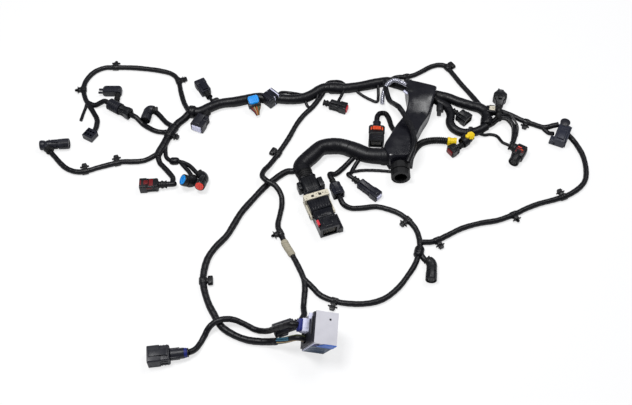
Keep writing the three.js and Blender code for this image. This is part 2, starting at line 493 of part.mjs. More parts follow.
// Long leads, with a cream tape wrap on the diagonal one
cable('lead_diagonal', (more) => join(tube(route.diagonal, leadD, more),
  wrap(route.diagonal, 0.731, creamWrap, leadD + more, tapeT)), tape,
[clipOn('diagonal', 0.32, -1), clipOn('diagonal', 0.672, -1)])
cable('lead_ring', (more) => join(tube(route.ring, leadD, more), tube(route.ringTail, leadD, more),
  wrap(route.ring, 0.555, ringKnot.length, leadD + more, ringKnot.extra)), tape,
[clipOn('ring', 0.142, -1), clipOn('ring', 0.7, 1)])
cable('lead_long', (more) => tube(route.long, stoutLeadD, more), tape, [clipOn('long', 0.555, 1, stoutLeadD)])
cable('lead_great', (more) => tube(route.great, leadD, more), tape)
cable('lead_orange_locked', (more) => tube(route.orange, leadD, more), tape)
cable('lead_small_white', (more) => join(tube(route.white, thinLeadD, more), tube(route.cross, wireD, more)), tape)

// Right leads, the bracket they share, and the loose wires of the far right plug
piece('bracket_right', join(block(3, 47, 22, 18, { cut: bevel }), block(8, 30, 14, 3, { z: 10 }),
  block(44, 60, 20, 6, { z: 7, y: 2, cut: bevel }), block(3, 17, 12, 10, { z: -4, y: 12, cut: bevel }),
  block(6, 44, 3, 20, { y: -12, z: 1 })), grey, bracketPlace)
cable('lead_upper_right', (more) => tube(route.upper, leadD, more), tape,
  [clipOn('upper', 0.53, 1), clipOn('upper', 0.178, -1)])
cable('lead_right', (more) => join(tube(route.right, leadD, more), tube(route.rightBranch, thinLeadD, more)), tape,
  [clipOn('right', 0.61, -1), knob('right', 0.12, [16, 14, 12], { z: 1 })])
cable('lead_far_right', (more) => tube(route.farRight, leadD, more), tape,
  [clipOn('farRight', 0.38, -1), clipOn('farRight', 0.6, 1), clipOn('farRight', 0.93, 1)])
cable('wire_arch', (more) => tube(route.arch, leadD, more), tape)

// Conduit, its yellow collar, the ribbed silver sleeve and the lead that runs over the duct
piece('collar_yellow', drum([[0, 8.5], [5, 8.5], [5, 7.5], [12, 7.5], [12, 8.5], [17, 8.5]], 12),
  plastic('#e3c51f'), collarPlace)
cable('conduit', (more) => tube(route.conduit, conduitD, more), rubber)
cable('sleeve_silver', (more) => tube(route.silver, leadD, more), silver)
cable('lead_over_duct', (more) => tube(route.strap, leadD, more), tape,
  [knob('strap', 0.24, [14, 13, 12], { y: 6 }), knob('strap', 0.34, [14, 13, 12], { y: 6 })])

// Cable duct: a cover open at the bottom, notched where cables pass its wall, with a latch block on its side
function inset(outline, by) {
  return outline.map((p, i) => {
    const back = p.clone().sub(outline.at(i - 1)).normalize()
    const on = outline[(i + 1) % outline.length].clone().sub(p).normalize()
    return new THREE.Vector2(-back.y - on.y, back.x + on.x).multiplyScalar(by / (1 + back.dot(on))).add(p)
  })
}
const ductOutline = [[188, 206], [180, 176], [161, 144], [136, 91], [146, 60], [190, 62], [197, 108], [215, 152],
  [228, 176], [240, 214], [248, 246], [186, 266]].map(([x, y]) => new THREE.Vector2(x, y))
const prism = (outline, height, z) => solid(new THREE.ExtrudeGeometry(new THREE.Shape(outline),
  { depth: height, bevelEnabled: false }), spot(0, 0, z))
piece('duct', prism(ductOutline, ductHeight, 0)
  .subtract(prism(inset(ductOutline, ductWall), ductHeight, -ductWall))
  .add(moved(block(-9, 9, 8, 22), spot(250, 197, 14, 85))), plastic('#222326'))

// Round grommet at the duct's end
const grommetR = grommetD / 2
piece('grommet', drum([[0, grommetR - 3], [6, grommetR - 3], [6, grommetR], [16, grommetR], [16, grommetR - 2],
  [20, grommetR - 2], [20, grommetR], [30, grommetR]], 16)
  .subtract(drum([[30 - grommetHole.depth, grommetHole.diameter / 2], [31, grommetHole.diameter / 2]], 12)),
rubber, spot(165, 58, grommetR, -90))

export default harness
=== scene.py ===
"""A car's wiring harness laid out flat on a pale table: taped bundles, leads, plugs, clips and a module."""
import math

import bpy
import numpy as np
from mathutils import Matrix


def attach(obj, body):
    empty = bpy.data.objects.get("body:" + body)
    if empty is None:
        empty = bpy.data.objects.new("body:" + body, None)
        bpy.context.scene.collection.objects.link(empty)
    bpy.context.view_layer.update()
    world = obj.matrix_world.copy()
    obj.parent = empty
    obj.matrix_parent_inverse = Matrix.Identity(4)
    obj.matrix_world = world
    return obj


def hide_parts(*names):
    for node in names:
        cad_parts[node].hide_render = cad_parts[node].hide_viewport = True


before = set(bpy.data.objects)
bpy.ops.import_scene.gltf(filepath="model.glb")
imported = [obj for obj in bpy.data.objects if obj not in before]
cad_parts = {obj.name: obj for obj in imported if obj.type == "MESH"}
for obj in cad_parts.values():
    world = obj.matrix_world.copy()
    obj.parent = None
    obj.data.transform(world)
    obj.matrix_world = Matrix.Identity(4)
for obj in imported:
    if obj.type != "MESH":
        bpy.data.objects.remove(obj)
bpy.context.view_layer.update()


# Studio. A photographer's table of white laminate, seen from the front at 55 degrees down. Soft light comes
# from all round and from two large lamps above, so the harness leaves only a faint shadow on it.
def linear(colour):
    """sRGB hex to linear light: a channel under 0.04045 is divided by 12.92, any other is raised to the power
    2.4."""
    c = np.array([int(colour[i:i + 2], 16) for i in (1, 3, 5)]) / 255
    return (*np.where(c <= 0.04045, c / 12.92, ((c + 0.055) / 1.055) ** 2.4).tolist(), 1.0)


def cleared(owner):
    """The node tree of a world or a material, without the nodes it came with."""
    owner.use_nodes = True
    owner.node_tree.nodes.clear()
    return owner.node_tree


def node(tree, kind, inputs=None, **settings):
    """Adds a shader node: settings are its own properties, and inputs pairs a socket with a value, with an
    output of another node, or with a node whose first output is meant."""
    new = tree.nodes.new("ShaderNode" + kind)
    for key, value in settings.items():
        setattr(new, key, value)
    for key, value in (inputs or {}).items():
        value = value.outputs[0] if isinstance(value, bpy.types.Node) else value
        if isinstance(value, bpy.types.NodeSocket):
            tree.links.new(value, new.inputs[key])
        else:
            new.inputs[key].default_value = value
    return new


def shown(name, data):
    """A new object in the scene, of a mesh, a lamp or a camera."""
    thing = bpy.data.objects.new(name, data)
    bpy.context.scene.collection.objects.link(thing)
    return thing


look_down, lens_across = 55.0, 40.0  # degrees
sky_strength, table_glow = 0.24, 0.72  # light from all round, and how far the table shows plain white
camera = bpy.data.cameras.new("camera")
camera.sensor_fit = "HORIZONTAL"
camera.angle = math.radians(lens_across)
camera.clip_end = 30
viewer = shown("camera", camera)
viewer.location = (0.009, -0.9253, 1.300)
viewer.rotation_euler = (math.radians(90 - look_down), 0, 0)
bpy.context.scene.camera = viewer
bpy.context.scene.view_settings.view_transform = "Standard"

world = bpy.data.worlds.new("studio")
bpy.context.scene.world = world
tree = cleared(world)
seen = node(tree, "LightPath")
soft = node(tree, "Background", {"Color": linear("#e9ecfb"), "Strength": sky_strength})
white = node(tree, "Background", {"Color": (1, 1, 1, 1), "Strength": 1.0})
sky = node(tree, "MixShader", {0: seen.outputs["Is Camera Ray"], 1: soft, 2: white})
node(tree, "OutputWorld", {"Surface": sky})

for name, place, size, watts in (("key", (-0.5, -0.1, 2.1), 0.7, 36), ("fill", (1.0, 0.7, 2.3), 0.9, 20)):
    lamp = bpy.data.lights.new(name, "AREA")
    lamp.size = size
    lamp.energy = watts
    holder = shown(name, lamp)
    holder.location = place
    holder.rotation_euler = (np.arctan2(-place[1], place[2]), -np.arctan2(-place[0], place[2]), 0)

laminate = bpy.data.materials.new("white_laminate")
tree = cleared(laminate)
seen = node(tree, "LightPath")
spots = node(tree, "TexCoord")
mottle = node(tree, "TexNoise", {"Vector": spots.outputs["Object"], "Scale": 3.0})
shade = node(tree, "MapRange", {"Value": mottle, "To Min": 0.93, "To Max": 0.96})
matt = node(tree, "BsdfDiffuse", {"Color": shade})
glow = node(tree, "Emission", {"Color": (1, 1, 1, 1), "Strength": 1.0})
share = node(tree, "Math", {0: seen.outputs["Is Camera Ray"], 1: table_glow}, operation="MULTIPLY")
face = node(tree, "MixShader", {0: share, 1: matt, 2: glow})
node(tree, "OutputMaterial", {"Surface": face})

half_width, lines, drop = 4, 9, 0.0002  # of the table, in metres; it lies just under the harness's ground
reach = np.linspace(-half_width, half_width, lines)
across, away = (grid.ravel() for grid in np.meshgrid(reach, reach))
squares = (np.arange(lines - 1)[:, None] * lines + np.arange(lines - 1)).ravel()
table = bpy.data.meshes.new("table")
table.from_pydata(np.stack([across, away, np.full(lines**2, -drop)], 1).tolist(), [],
                  np.stack([squares, squares + 1, squares + lines + 1, squares + lines], 1).tolist())
table.materials.append(laminate)
table_top = shown("table", table)


# Taped bundles. Copper wires held together by black PET cloth tape, wound by hand with half of each turn over
# the last. The tape is matt with a faint shine on its ridges. The thin wires that leave a bundle go back into
# it.
def finish(name, colour, roughness, **gloss):
    """A principled surface of one colour; the nodes that vary it are linked to what it gives back."""
    made = bpy.data.materials.new(name)
    tree = cleared(made)
    surface = node(tree, "BsdfPrincipled", {"Base Color": linear(colour), "Roughness": roughness,
                                            "Specular IOR Level": 0.34, **gloss})
    node(tree, "OutputMaterial", {"Surface": surface})
    return made, tree, surface


def cloth_tape(name, dark, light, roughness):
    """Tape wound in a spiral: the fraction of length in pitches plus turn gives each lap, with painted shade
    along the step where the next begins."""
    made, tree, surface = finish(name, light, roughness, **{"Specular IOR Level": 0.28})
    edge_share, thread_share = 0.09, 0.35  # of a lap, and of the relief
    skin = node(tree, "UVMap", uv_map="wound")
    parts = node(tree, "SeparateXYZ", {0: skin})
    turn = node(tree, "Math", {0: parts, 1: parts.outputs[1]}, operation="ADD")
    lap = node(tree, "Math", {0: turn}, operation="FRACT")
    edge = node(tree, "MapRange", {"Value": lap, "From Min": 0.0, "From Max": edge_share})
    spots = node(tree, "TexCoord")
    # Threads of the cloth are 0.2 mm apart; they are drawn 1.1 mm coarse so that they show
    threads = node(tree, "TexNoise", {"Vector": spots.outputs["Object"], "Scale": 900.0, "Detail": 2.0})
    dust = node(tree, "TexNoise", {"Vector": spots.outputs["Object"], "Scale": 55.0, "Detail": 3.0})
    # Dark along each lap's edge: painted shade in the step; darker where the dust noise is low: the tape's
    # own uneven tone.
    lap_shade_and_dust = node(tree, "Math", {0: edge, 1: dust}, operation="MULTIPLY")
    colour = node(tree, "Mix", {0: lap_shade_and_dust, 6: linear(dark), 7: linear(light)}, data_type="RGBA")
    tree.links.new(colour.outputs[2], surface.inputs["Base Color"])
    rough = node(tree, "MapRange", {"Value": dust, "To Min": roughness - 0.1, "To Max": roughness + 0.16})
    tree.links.new(rough.outputs[0], surface.inputs["Roughness"])
    fine = node(tree, "Math", {0: threads, 1: thread_share}, operation="MULTIPLY")
    height = node(tree, "Math", {0: fine, 1: edge}, operation="ADD")
    relief = node(tree, "Bump", {"Height": height, "Strength": 0.5, "Distance": 0.0004})
    tree.links.new(relief.outputs[0], surface.inputs["Normal"])
    return made


def smooth_way(points, step):
    """A centripetal Catmull-Rom curve: knots stand apart by the square root of the chords, and each span is a
    cubic with the tangents that those knots give; the whole is then sampled again at equal lengths."""
    p = np.array(points, float)
    p = np.vstack([2 * p[0] - p[1], p, 2 * p[-1] - p[-2]])
    d = np.maximum(np.linalg.norm(np.diff(p, axis=0), axis=1), 1e-6) ** 0.5
    a, b, c, e = p[:-3], p[1:-2], p[2:-1], p[3:]
    da, db, dc = (d[i:len(d) - 2 + i, None] for i in range(3))
    leave = ((b - a) / da - (c - a) / (da + db) + (c - b) / db) * db
    arrive = ((c - b) / db - (e - b) / (db + dc) + (e - c) / dc) * db
    t = np.linspace(0, 1, 33)[None, :-1, None]
    b, c, leave, arrive = (v[:, None] for v in (b, c, leave, arrive))
    line = b + leave * t + (3 * (c - b) - 2 * leave - arrive) * t**2 + (2 * (b - c) + leave + arrive) * t**3
    line = np.vstack([line.reshape(-1, 3), p[-2]])
    far = np.append(0, np.cumsum(np.linalg.norm(np.diff(line, axis=0), axis=1)))
    even = np.linspace(0, far[-1], max(4, round(far[-1] / step)) + 1)
    return np.stack([np.interp(even, far, line[:, k]) for k in range(3)], 1), even


def frames_along(line):
    """At every point: the tangent, the level direction to its left, and the direction square to both, near
    up."""
    ahead = np.gradient(line, axis=0)
    ahead /= np.linalg.norm(ahead, axis=1, keepdims=True)
    left = np.cross([0, 0, 1.0], ahead)
    left /= np.linalg.norm(left, axis=1, keepdims=True)
    return ahead, left, np.cross(ahead, left)


def tube(line, radius, sides):
    """Rings round a line, each point the radius times (cosine of left plus sine of up); the radius is one
    number, one for each ring, or one for each point."""
    _, left, up = frames_along(line)
    angle = 2 * np.pi * np.arange(sides) / sides
    around = np.cos(angle)[None, :, None] * left[:, None] + np.sin(angle)[None, :, None] * up[:, None]
    radius = radius if np.ndim(radius) == 2 else np.reshape(radius, (-1, 1))
    return line[:, None] + radius[..., None] * around


def skin_mesh(name, shells, finishes, uvs=None):
    """Closed shells in one mesh. A shell is a grid of rings; neighbouring rings are joined by quads, and a
    fan to the end ring's middle closes either end. finishes gives each shell's material; metres, faces point
    outwards."""
    points, faces, which, start = [], [], [], 0
    for number, shell in enumerate(shells):
        n, m, _ = shell.shape
        here = start + np.arange(n)[:, None] * m + np.arange(m)
        over = np.roll(here, -1, axis=1)
        quads = np.stack([here[:-1], over[:-1], over[1:], here[1:]], -1).reshape(-1, 4)
        near = np.stack([np.full(m, start + n * m), over[0], here[0]], -1)
        far = np.stack([np.full(m, start + n * m + 1), here[-1], over[-1]], -1)
        points += [shell.reshape(-1, 3), shell[0].mean(0)[None], shell[-1].mean(0)[None]]
        faces += quads.tolist() + near.tolist() + far.tolist()
        which += [number] * (len(quads) + 2 * m)
        start += n * m + 2
    mesh = bpy.data.meshes.new(name)
    mesh.from_pydata(np.vstack(points).tolist(), [], faces)
    kinds = list(dict.fromkeys(finishes))
    for kind in kinds:
        mesh.materials.append(kind)
    slots = np.array([kinds.index(kind) for kind in finishes])[np.array(which)]
    mesh.polygons.foreach_set("material_index", slots.astype(np.int32))
    mesh.polygons.foreach_set("use_smooth", np.ones(len(faces), bool))
    if uvs is not None:
        layer = mesh.uv_layers.new(name="wound")
        layer.data.foreach_set("uv", uvs.astype(np.float32).ravel())
    mesh.set_sharp_from_angle(angle=math.radians(32))
    return shown(name, mesh)


def declare(thing, stands_for, body="harness"):
    """Says which body a piece rides and which CAD solid it takes the place of."""
    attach(thing, body)
    if stands_for:
        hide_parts(stands_for)


def wound_uvs(n, m, lengths):
    """For each face corner of a tube: length along it in tape pitches, and share of a turn, unbroken at the
    seam."""
    along = np.broadcast_to(lengths[:, None], (n, m + 1))
    turn = np.broadcast_to(np.arange(m + 1) / m, (n, m + 1))
    grid = np.stack([along, turn], -1)
    quads = np.stack([grid[:-1, :-1], grid[:-1, 1:], grid[1:, 1:], grid[1:, :-1]], 2).reshape(-1, 2)
    near = np.stack([grid[0, :-1], grid[0, 1:], grid[0, :-1]], 1).reshape(-1, 2)
    far = np.stack([grid[-1, :-1], grid[-1, :-1], grid[-1, 1:]], 1).reshape(-1, 2)
    return np.vstack([quads, near, far])


def taped(line, lengths, diameter, pitch=0.012, sides=24):
    """A tube whose radius is half the diameter, with slow swells where wires lie under the tape and a small
    step of each lap: the step falls from its edge to nothing over one lap."""
    step_height, step_share, swells = 0.00028, 0.12, (0.022, 0.018)  # metres, of a lap, of the radius
    length, turn = lengths[:, None], np.arange(sides) / sides
    lap = (length / pitch + turn) % 1
    step = step_height * np.minimum(lap / step_share, 1) * (1.15 - lap)
    swell = swells[0] * np.sin(length / 0.0075 + 1.3) + swells[1] * np.sin(4 * np.pi * turn + length / 0.02)
    return tube(line, (diameter / 2) * (0.985 + swell) + step, sides)


def scaled(shell, line, share):
    """A tube's shell with each point's distance from the line multiplied by its ring's share."""
    return line[:, None] + (shell - line[:, None]) * share[:, None, None]


def frayed(line, lengths, diameter):
    """A taped tube whose tape stops short: over its last 58 mm its radius falls to 0.78 of the rest."""
    bare, ease, fall = 0.058, 0.004, 0.22
    thin = np.clip((lengths - (lengths[-1] - bare)) / ease, 0, 1)
    return scaled(taped(line, lengths, diameter), line, 1 - fall * thin)


black_tape = cloth_tape("black_cloth_tape", "#040406", "#101015", 0.38)
leads = {}


def cable(name, stands_for, thick, points, stiffness="medium", look=black_tape, skin=taped, step=0.0016,
          slot="tape", pitch=0.012, free=True, **more):
    """One cable along its route: its skin, its length and the CAD solid that it stands for. Points
    and thickness are in millimetres, the rest in metres; a point without a height lies on the table."""
    diameter = thick / 1000
    route = [(x / 1000, y / 1000, (height[0] if height else thick / 2) / 1000) for x, y, *height in points]
    line, lengths = smooth_way(route, step)
    shell = skin(line, lengths, diameter, **more)
    thing = skin_mesh(name, [shell], [look], wound_uvs(*shell.shape[:2], lengths / pitch))
    declare(thing, stands_for)
    leads[name] = line, lengths, diameter, stands_for


cable("upper_trunk", "trunk_upper", 20, [
    (-240, 195), (-220, 194), (-199, 206), (-184, 214), (-169, 218), (-153, 220), (-137, 224), (-122, 228),
    (-102, 231), (-86, 228), (-68, 229), (-48, 227), (-31, 227), (-11, 232), (2, 240), (15, 251), (27, 257),
    (41, 257), (65, 256), (87, 259), (109, 264), (131, 270), (152, 274), (171, 268), (193, 257), (213, 247),
    (236, 241), (252, 236), (272, 230), (290, 220), (316, 209), (332, 203), (340, 193), (341, 177),
    (338, 160)], stiffness="stiff", sides=32, pitch=0.016)
cable("left_trunk", "trunk_left", 15, [
    (-236, 194, 10), (-248, 179), (-258, 168), (-267, 153), (-273, 139), (-278, 123), (-282, 111),
    (-288, 96), (-291, 85)], stiffness="stiff")
cable("right_bundle", "bundle_right", 17, [
    (232, 242, 10), (251, 222), (267, 208), (272, 187), (269, 168), (275, 153), (290, 143), (307, 143),
    (322, 148), (338, 158, 10)], stiffness="stiff", pitch=0.015)
cable("tail_wire", "bundle_right", 6, [
    (316, 145, 8.5), (333, 141, 4), (346, 143), (357, 139), (365.1, 117.4, 10),
    (376.7, 110.2, 10)], sides=16)
cable("main_sleeve", "sleeve_main", 31, [
    (-12.9, 40.1), (-18.3, 54.9), (3, 83), (19, 100), (37, 104), (58, 103), (83, 93), (105, 83), (129, 80),
    (158, 79)], stiffness="stiff", sides=40, pitch=0.019)
cable("side_lead", "sleeve_main", 10, [
    (88, 88, 15.5), (67, 69), (56, 56), (45, 46), (34.4, 42.2, 9.2), (38.9, 29.3, 9.2)])
strays = {
    "stray_by_splice": [(-68, 229, 14), (-61, 243, 12), (-49, 247, 8), (-37, 245, 8), (-20, 236, 14)],
    "stray_behind": [(25, 256, 12), (33, 272, 10), (45, 278, 7), (58, 274, 10), (70, 260, 14)],
    "stray_in_front": [(-12, 230, 12), (-9, 215, 6), (-1, 209, 5), (8, 222, 5), (14, 244, 12)],
    "stray_to_duct": [
        (80, 262, 12), (96, 247, 5), (116, 232, 4), (130, 226, 4), (133, 240, 5), (133, 262, 12)],
    "feed_of_red_ended": [(64.7, 249.9, 11.7), (58.3, 235.2, 8.7), (51.4, 219.4, 8.7)],
    "lead_of_hooked": [
        (-201.9, 232.7, 9.2), (-195, 220.9, 9.2), (-197, 224, 7), (-188, 232, 6), (-184, 226, 8),
        (-182, 216, 10)],
}
for name, points in strays.items():
    cable(name, "trunk_upper", 6, points, sides=16, free=name != "feed_of_red_ended")


# Single leads. Thin bundles of two to eight wires in the same tape or in a soft ribbed tube, 6 to 12 mm
# thick. They leave the trunks under a wrap of tape and end in their plugs.
cable("loop_lead", "lead_loop_left", 10, [
    (-240, 196, 10), (-252, 222), (-261, 251), (-270, 284), (-284, 300), (-309, 309), (-330, 313),
    (-361, 317), (-392, 318), (-408, 318), (-422, 317), (-441, 306), (-454, 284), (-457, 262), (-450, 235),
    (-440, 217), (-429, 199), (-418, 178), (-417, 160), (-419, 149)])
cable("loop_tail", "lead_loop_left", 6, [(-444, 226, 5), (-446, 210), (-448, 196), (-450, 178)], sides=16)
cable("loop_branch", "lead_loop_left", 10, [
    (-443, 222), (-428, 216), (-407.9, 220.4, 12), (-396.3, 213.2, 12)], free=False)
cable("inline_lead", "lead_inline_left", 10, [
    (-352.5, 185.8, 12), (-340.9, 178.6, 12), (-327, 167), (-315, 158), (-301, 150), (-288, 147),
    (-270, 146, 7.5)])
cable("booted_lead", "lead_booted_elbow", 10, [
    (-304, 197), (-296, 188), (-289, 179), (-281, 170), (-264, 157, 7.5)], free=False)
cable("far_left_lead", "lead_far_left", 10, [
    (-291, 92, 7.5), (-301, 86), (-312, 79), (-323, 76), (-341, 75), (-354, 75), (-366, 72), (-385, 66),
    (-402, 60), (-414, 55), (-424, 52), (-434, 51), (-445, 53), (-459, 60), (-472, 72), (-485, 87),
    (-494, 97)])
cable("red_locked_lead", "lead_red_locked", 10, [
    (-290, 90, 7.5), (-285, 73), (-276, 62), (-266, 50), (-257, 37), (-256, 25), (-252, 20, 9.7),
    (-265.7, 19, 9.7)])
cable("pair_lead", "lead_colour_pair", 8, [
    (-278, 123, 7.5), (-277, 100), (-273, 85), (-263, 78), (-252, 77), (-239, 73), (-228, 66), (-219, 56),
    (-209, 44)], sides=20)
cable("pair_branch", "lead_colour_pair", 8, [
    (-247, 76), (-237, 63), (-227, 50), (-219, 34)], sides=20, free=False)
cable("diagonal_lead", "lead_diagonal", 10, [
    (28, 258, 10), (21, 244), (13, 229), (1, 210), (-15, 190), (-28, 168), (-43, 133), (-58, 103),
    (-68, 84), (-79, 63, 9), (-88, 46, 14.6), (-90, 32, 17.6), (-82, 22, 17.6), (-66, 12, 15.6),
    (-55, -4, 9), (-53, -24), (-56, -46), (-59, -70), (-51, -93), (-44, -110), (-33, -130), (-22, -153),
    (-12, -179), (-10, -196), (-11, -216), (-12, -234), (-11, -250, 9), (-18.7, -265.9, 13.2)])
cable("ring_lead", "lead_ring", 10, [
    (-12, -179), (2, -194), (16, -210), (33, -219), (49, -224), (61, -226), (86, -227), (110, -223),
    (129, -214), (151, -194), (167, -172), (181, -149), (190, -122), (192, -102), (187, -77), (174, -57),
    (159, -43), (138, -33), (118, -28), (92, -31), (72, -31), (60, -26, 8), (55.9, -20.2, 9.2),
    (51.5, -7.2, 9.2)])
cable("ring_tail", "lead_ring", 10, [(190, -122), (195, -135), (201, -143)], free=False)
cable("long_lead", "lead_long", 12, [
    (-8, 52, 12), (-34, 52), (-45, 51), (-58, 42), (-71, 30), (-80, 22), (-90, 10), (-103, -8), (-126, -42),
    (-138, -68), (-149, -91), (-168, -116), (-179, -137), (-184, -163), (-184, -185), (-180, -204),
    (-171, -229), (-163, -244), (-147, -270), (-126, -285), (-104, -294), (-83, -297), (-62, -300, 12),
    (-42, -305, 27), (-20.6, -308.2, 43.6), (-8.5, -308.2, 39.7)], skin=frayed)
cable("great_lead", "lead_great", 10, [
    (-20.3, -293.2, 58.3), (-29.5, -293.2, 61.3), (-50, -289, 42), (-72, -283, 16), (-91, -275),
    (-108, -267, 8), (-127, -261, 13.6), (-142, -262, 17.6), (-155, -266, 17.6), (-167, -275, 12.6),
    (-175, -288), (-181, -301), (-188, -313, 9), (-196.7, -319, 11.7)])
cable("orange_locked_lead", "lead_orange_locked", 10, [
    (127, 166.3, 11.2), (128, 180, 11.2), (134, 191, 9), (145, 194), (151, 182), (156, 160),
    (168, 134, 12)])
cable("small_white_lead", "lead_small_white", 8, [
    (96, 84, 15.5), (80, 62), (74, 49), (68.8, 42.5, 8.2), (78.8, 33.2, 8.2)], sides=20)
cable("cross_wire", "lead_small_white", 6, [(77, 52, 4), (95, 56), (121, 56), (152, 53)], sides=16)
cable("upper_right_lead", "lead_upper_right", 10, [
    (150, 272, 10), (171, 290), (191, 292), (206, 296), (223, 306), (244, 320), (261, 325), (273, 322),
    (282, 309), (291, 292), (299, 276), (318, 243), (336, 203, 10)])
cable("right_lead", "lead_right", 10, [
    (334, 203, 10), (356, 208), (374, 199), (393, 189), (412, 176), (433, 166), (451, 159), (468, 158, 12),
    (477, 159, 14)])
cable("right_branch", "lead_right", 8, [(447, 161), (458, 146), (466, 141, 8)], sides=20, free=False)
cable("far_right_lead", "lead_far_right", 10, [
    (490, 140, 10), (502, 127), (508, 112), (514, 89), (514, 56), (508, 32), (496, 16), (471, -2),
    (445, -12), (413, -22), (388, -33), (372, -42), (355, -50), (334, -58), (303, -64), (269, -75),
    (240, -91), (216, -103), (190, -104)])
cable("arch_of_wires", "wire_arch", 10, [
    (338, 158, 10), (351, 168), (368, 180, 9), (381, 178, 9), (391, 165), (393, 148), (389, 130),
    (384, 119)], stiffness="limp")
cable("lead_above_duct", "lead_over_duct", 10, [
    (146, 268, 18), (148, 238, 22), (153, 214, 22), (162, 190, 36.6), (168, 178, 42.6), (177, 159, 42.6),
    (189, 124, 42.6), (192, 96, 42.6), (188, 74, 42.6), (178, 52, 34)], stiffness="stiff")


# Corrugated conduit and the silver sleeve. Both are blown tubes with rings round them: the conduit black
# nylon with a ring every 3.4 mm, the sleeve a heat shield of aluminium foil on glass cloth, ringed every 4
# mm.
def ringed(line, lengths, diameter, ring=0.0034, depth=0.0011, slim=1.0):
    """A tube with rings: the radius falls by the depth between rings along a fourth power of a sine of the
    length."""
    return tube(line, slim * diameter / 2 - depth * np.sin(np.pi * lengths / ring) ** 4, 28)


nylon, tree, surface = finish("black_nylon_conduit", "#0d0d0f", 0.38)
spots = node(tree, "TexCoord")
dust = node(tree, "TexNoise", {"Vector": spots.outputs["Object"], "Scale": 300.0, "Detail": 3.0})
rough = node(tree, "MapRange", {"Value": dust, "To Min": 0.34, "To Max": 0.58})
tree.links.new(rough.outputs[0], surface.inputs["Roughness"])
foil, tree, surface = finish("aluminium_foil_sleeve", "#b9bac4", 0.3, Metallic=0.85)
spots = node(tree, "TexCoord")
crinkle_relief_and_shade = node(tree, "TexNoise", {"Vector": spots.outputs["Object"], "Scale": 420.0, "Detail": 4.0})
# The foil's colour follows its crinkles: painted shade in their hollows and painted highlight on their
# crests.
tone = node(tree, "Mix", {0: crinkle_relief_and_shade, 6: linear("#8f909c"), 7: linear("#d6d7e0")}, data_type="RGBA")
tree.links.new(tone.outputs[2], surface.inputs["Base Color"])
relief = node(tree, "Bump", {"Height": crinkle_relief_and_shade, "Strength": 0.6, "Distance": 0.0004})
tree.links.new(relief.outputs[0], surface.inputs["Normal"])
cable("corrugated_conduit", "conduit", 14, [
    (184, 74), (190, 90), (198, 105), (210, 118), (227, 124), (246.1, 123.9, 8.5),
    (259.7, 122, 8.5)], look=nylon, skin=ringed, step=0.0005, slot="rubber", stiffness="stiff")
cable("foil_sleeve", "sleeve_silver", 10, [(140, 220), (142, 237, 12), (149, 252, 23), (164, 262, 27),
    (178, 257, 27), (190, 248, 27), (202, 240, 20)], look=foil, skin=ringed, step=0.0006,
    slot="silver_sleeve", ring=0.004, depth=0.0008, slim=0.88)


# Wraps and ties. Where a lead leaves a trunk the fitter adds a short wrap of tape, and cable ties of nylon
# hold the heavier ones. The long diagonal lead carries a cream fabric label taped round it.
def turned(profile, sides=28, y=0.0, z=0.0):
    """A turned shape round X: each (x, radius) of the profile is a ring of that radius at that x."""
    x, r = np.array(profile, float).T
    angle = 2 * np.pi * np.arange(sides) / sides
    return np.stack([np.broadcast_to(x[:, None], (len(x), sides)), y + r[:, None] * np.cos(angle),
                     z + r[:, None] * np.sin(angle)], -1)


def placed(shell, place):
    """The shell's points times the 4 by 4 place, still in millimetres."""
    return shell @ place[:3, :3].T + place[:3, 3]


def along(name, share):
    """The place on a lead at a share of its length: X along it, Z near up, in millimetres."""
    line = leads[name][0]
    ahead, left, up = frames_along(line)
    i = int(round(share * (len(line) - 1)))
    place = np.eye(4)
    place[:3, :3] = np.stack([ahead[i], left[i], up[i]], 1)
    place[:3, 3] = line[i] * 1000
    return place


def mould(name, parts, stands_for, place=np.eye(4), body="harness"):
    """A piece from shells in its own place's millimetres; parts pairs each material with its shells."""
    shells = [placed(shell, place) / 1000 for _, several in parts for shell in several]
    looks = [look for look, several in parts for _ in several]
    declare(skin_mesh(name, shells, looks), stands_for, body)


def wrap(name, lead, share, length, more, look=black_tape):
    """A short wrap of tape that follows its lead: the lead's own skin, thicker by `more`, thinned at both
    ends. Its length and what it adds to the radius are in millimetres."""
    pitch, taper = 0.010, 0.004
    line, lengths, diameter, stands_for = leads[lead]
    part = abs(lengths - share * lengths[-1]) <= length / 2000
    line, lengths = line[part], lengths[part] - lengths[part][0]
    ease = np.clip(np.minimum(lengths, lengths[-1] - lengths) / taper, 0, 1) ** 0.5
    shell = scaled(taped(line, lengths, diameter, pitch), line, 1 + more / diameter / 500 * ease)
    thing = skin_mesh(name, [shell], [look], wound_uvs(*shell.shape[:2], lengths / pitch))
    declare(thing, stands_for)


cream_tape = cloth_tape("cream_cloth_tape", "#6d6757", "#b9b29d", 0.7)
wrap("wrap_left_junction", "upper_trunk", 0.012, 16, 2.4)
wrap("wrap_pair", "pair_lead", 0.48, 20, 3.0)
wrap("wrap_ring", "ring_lead", 0.555, 24, 3.6)
wrap("cream_wrap", "diagonal_lead", 0.731, 38, 1.5, cream_tape)
wrap("wrap_trunk_middle", "upper_trunk", 0.47, 30, 1.6)
wrap("wrap_trunk_right", "upper_trunk", 0.985, 20, 1.6)
wrap("wrap_left_trunk", "left_trunk", 0.45, 26, 1.8)
wrap("wrap_sleeve_end", "main_sleeve", 0.93, 26, 1.2)


# Push-in clips. Black nylon: a strap round the lead, a post, a thin spring wing that presses on the body
# panel and a barbed foot that snaps into its hole. Some are edge clips, with a short block in place of the
# foot.
def ring_of(width, height, corner):
    """A rectangle with round corners: each quarter is a corner's centre plus the corner radius times its
    angle."""
    corner = min(corner, width / 2 - 1e-3, height / 2 - 1e-3)
    angle = np.linspace(0, np.pi / 2, 5)[None] + np.arange(4)[:, None] * np.pi / 2
    signs = np.array([[1, 1], [-1, 1], [-1, -1], [1, -1]])
    centre = signs * [width / 2 - corner, height / 2 - corner]
    return (centre[:, None] + corner * np.stack([np.cos(angle), np.sin(angle)], -1)).reshape(-1, 2)


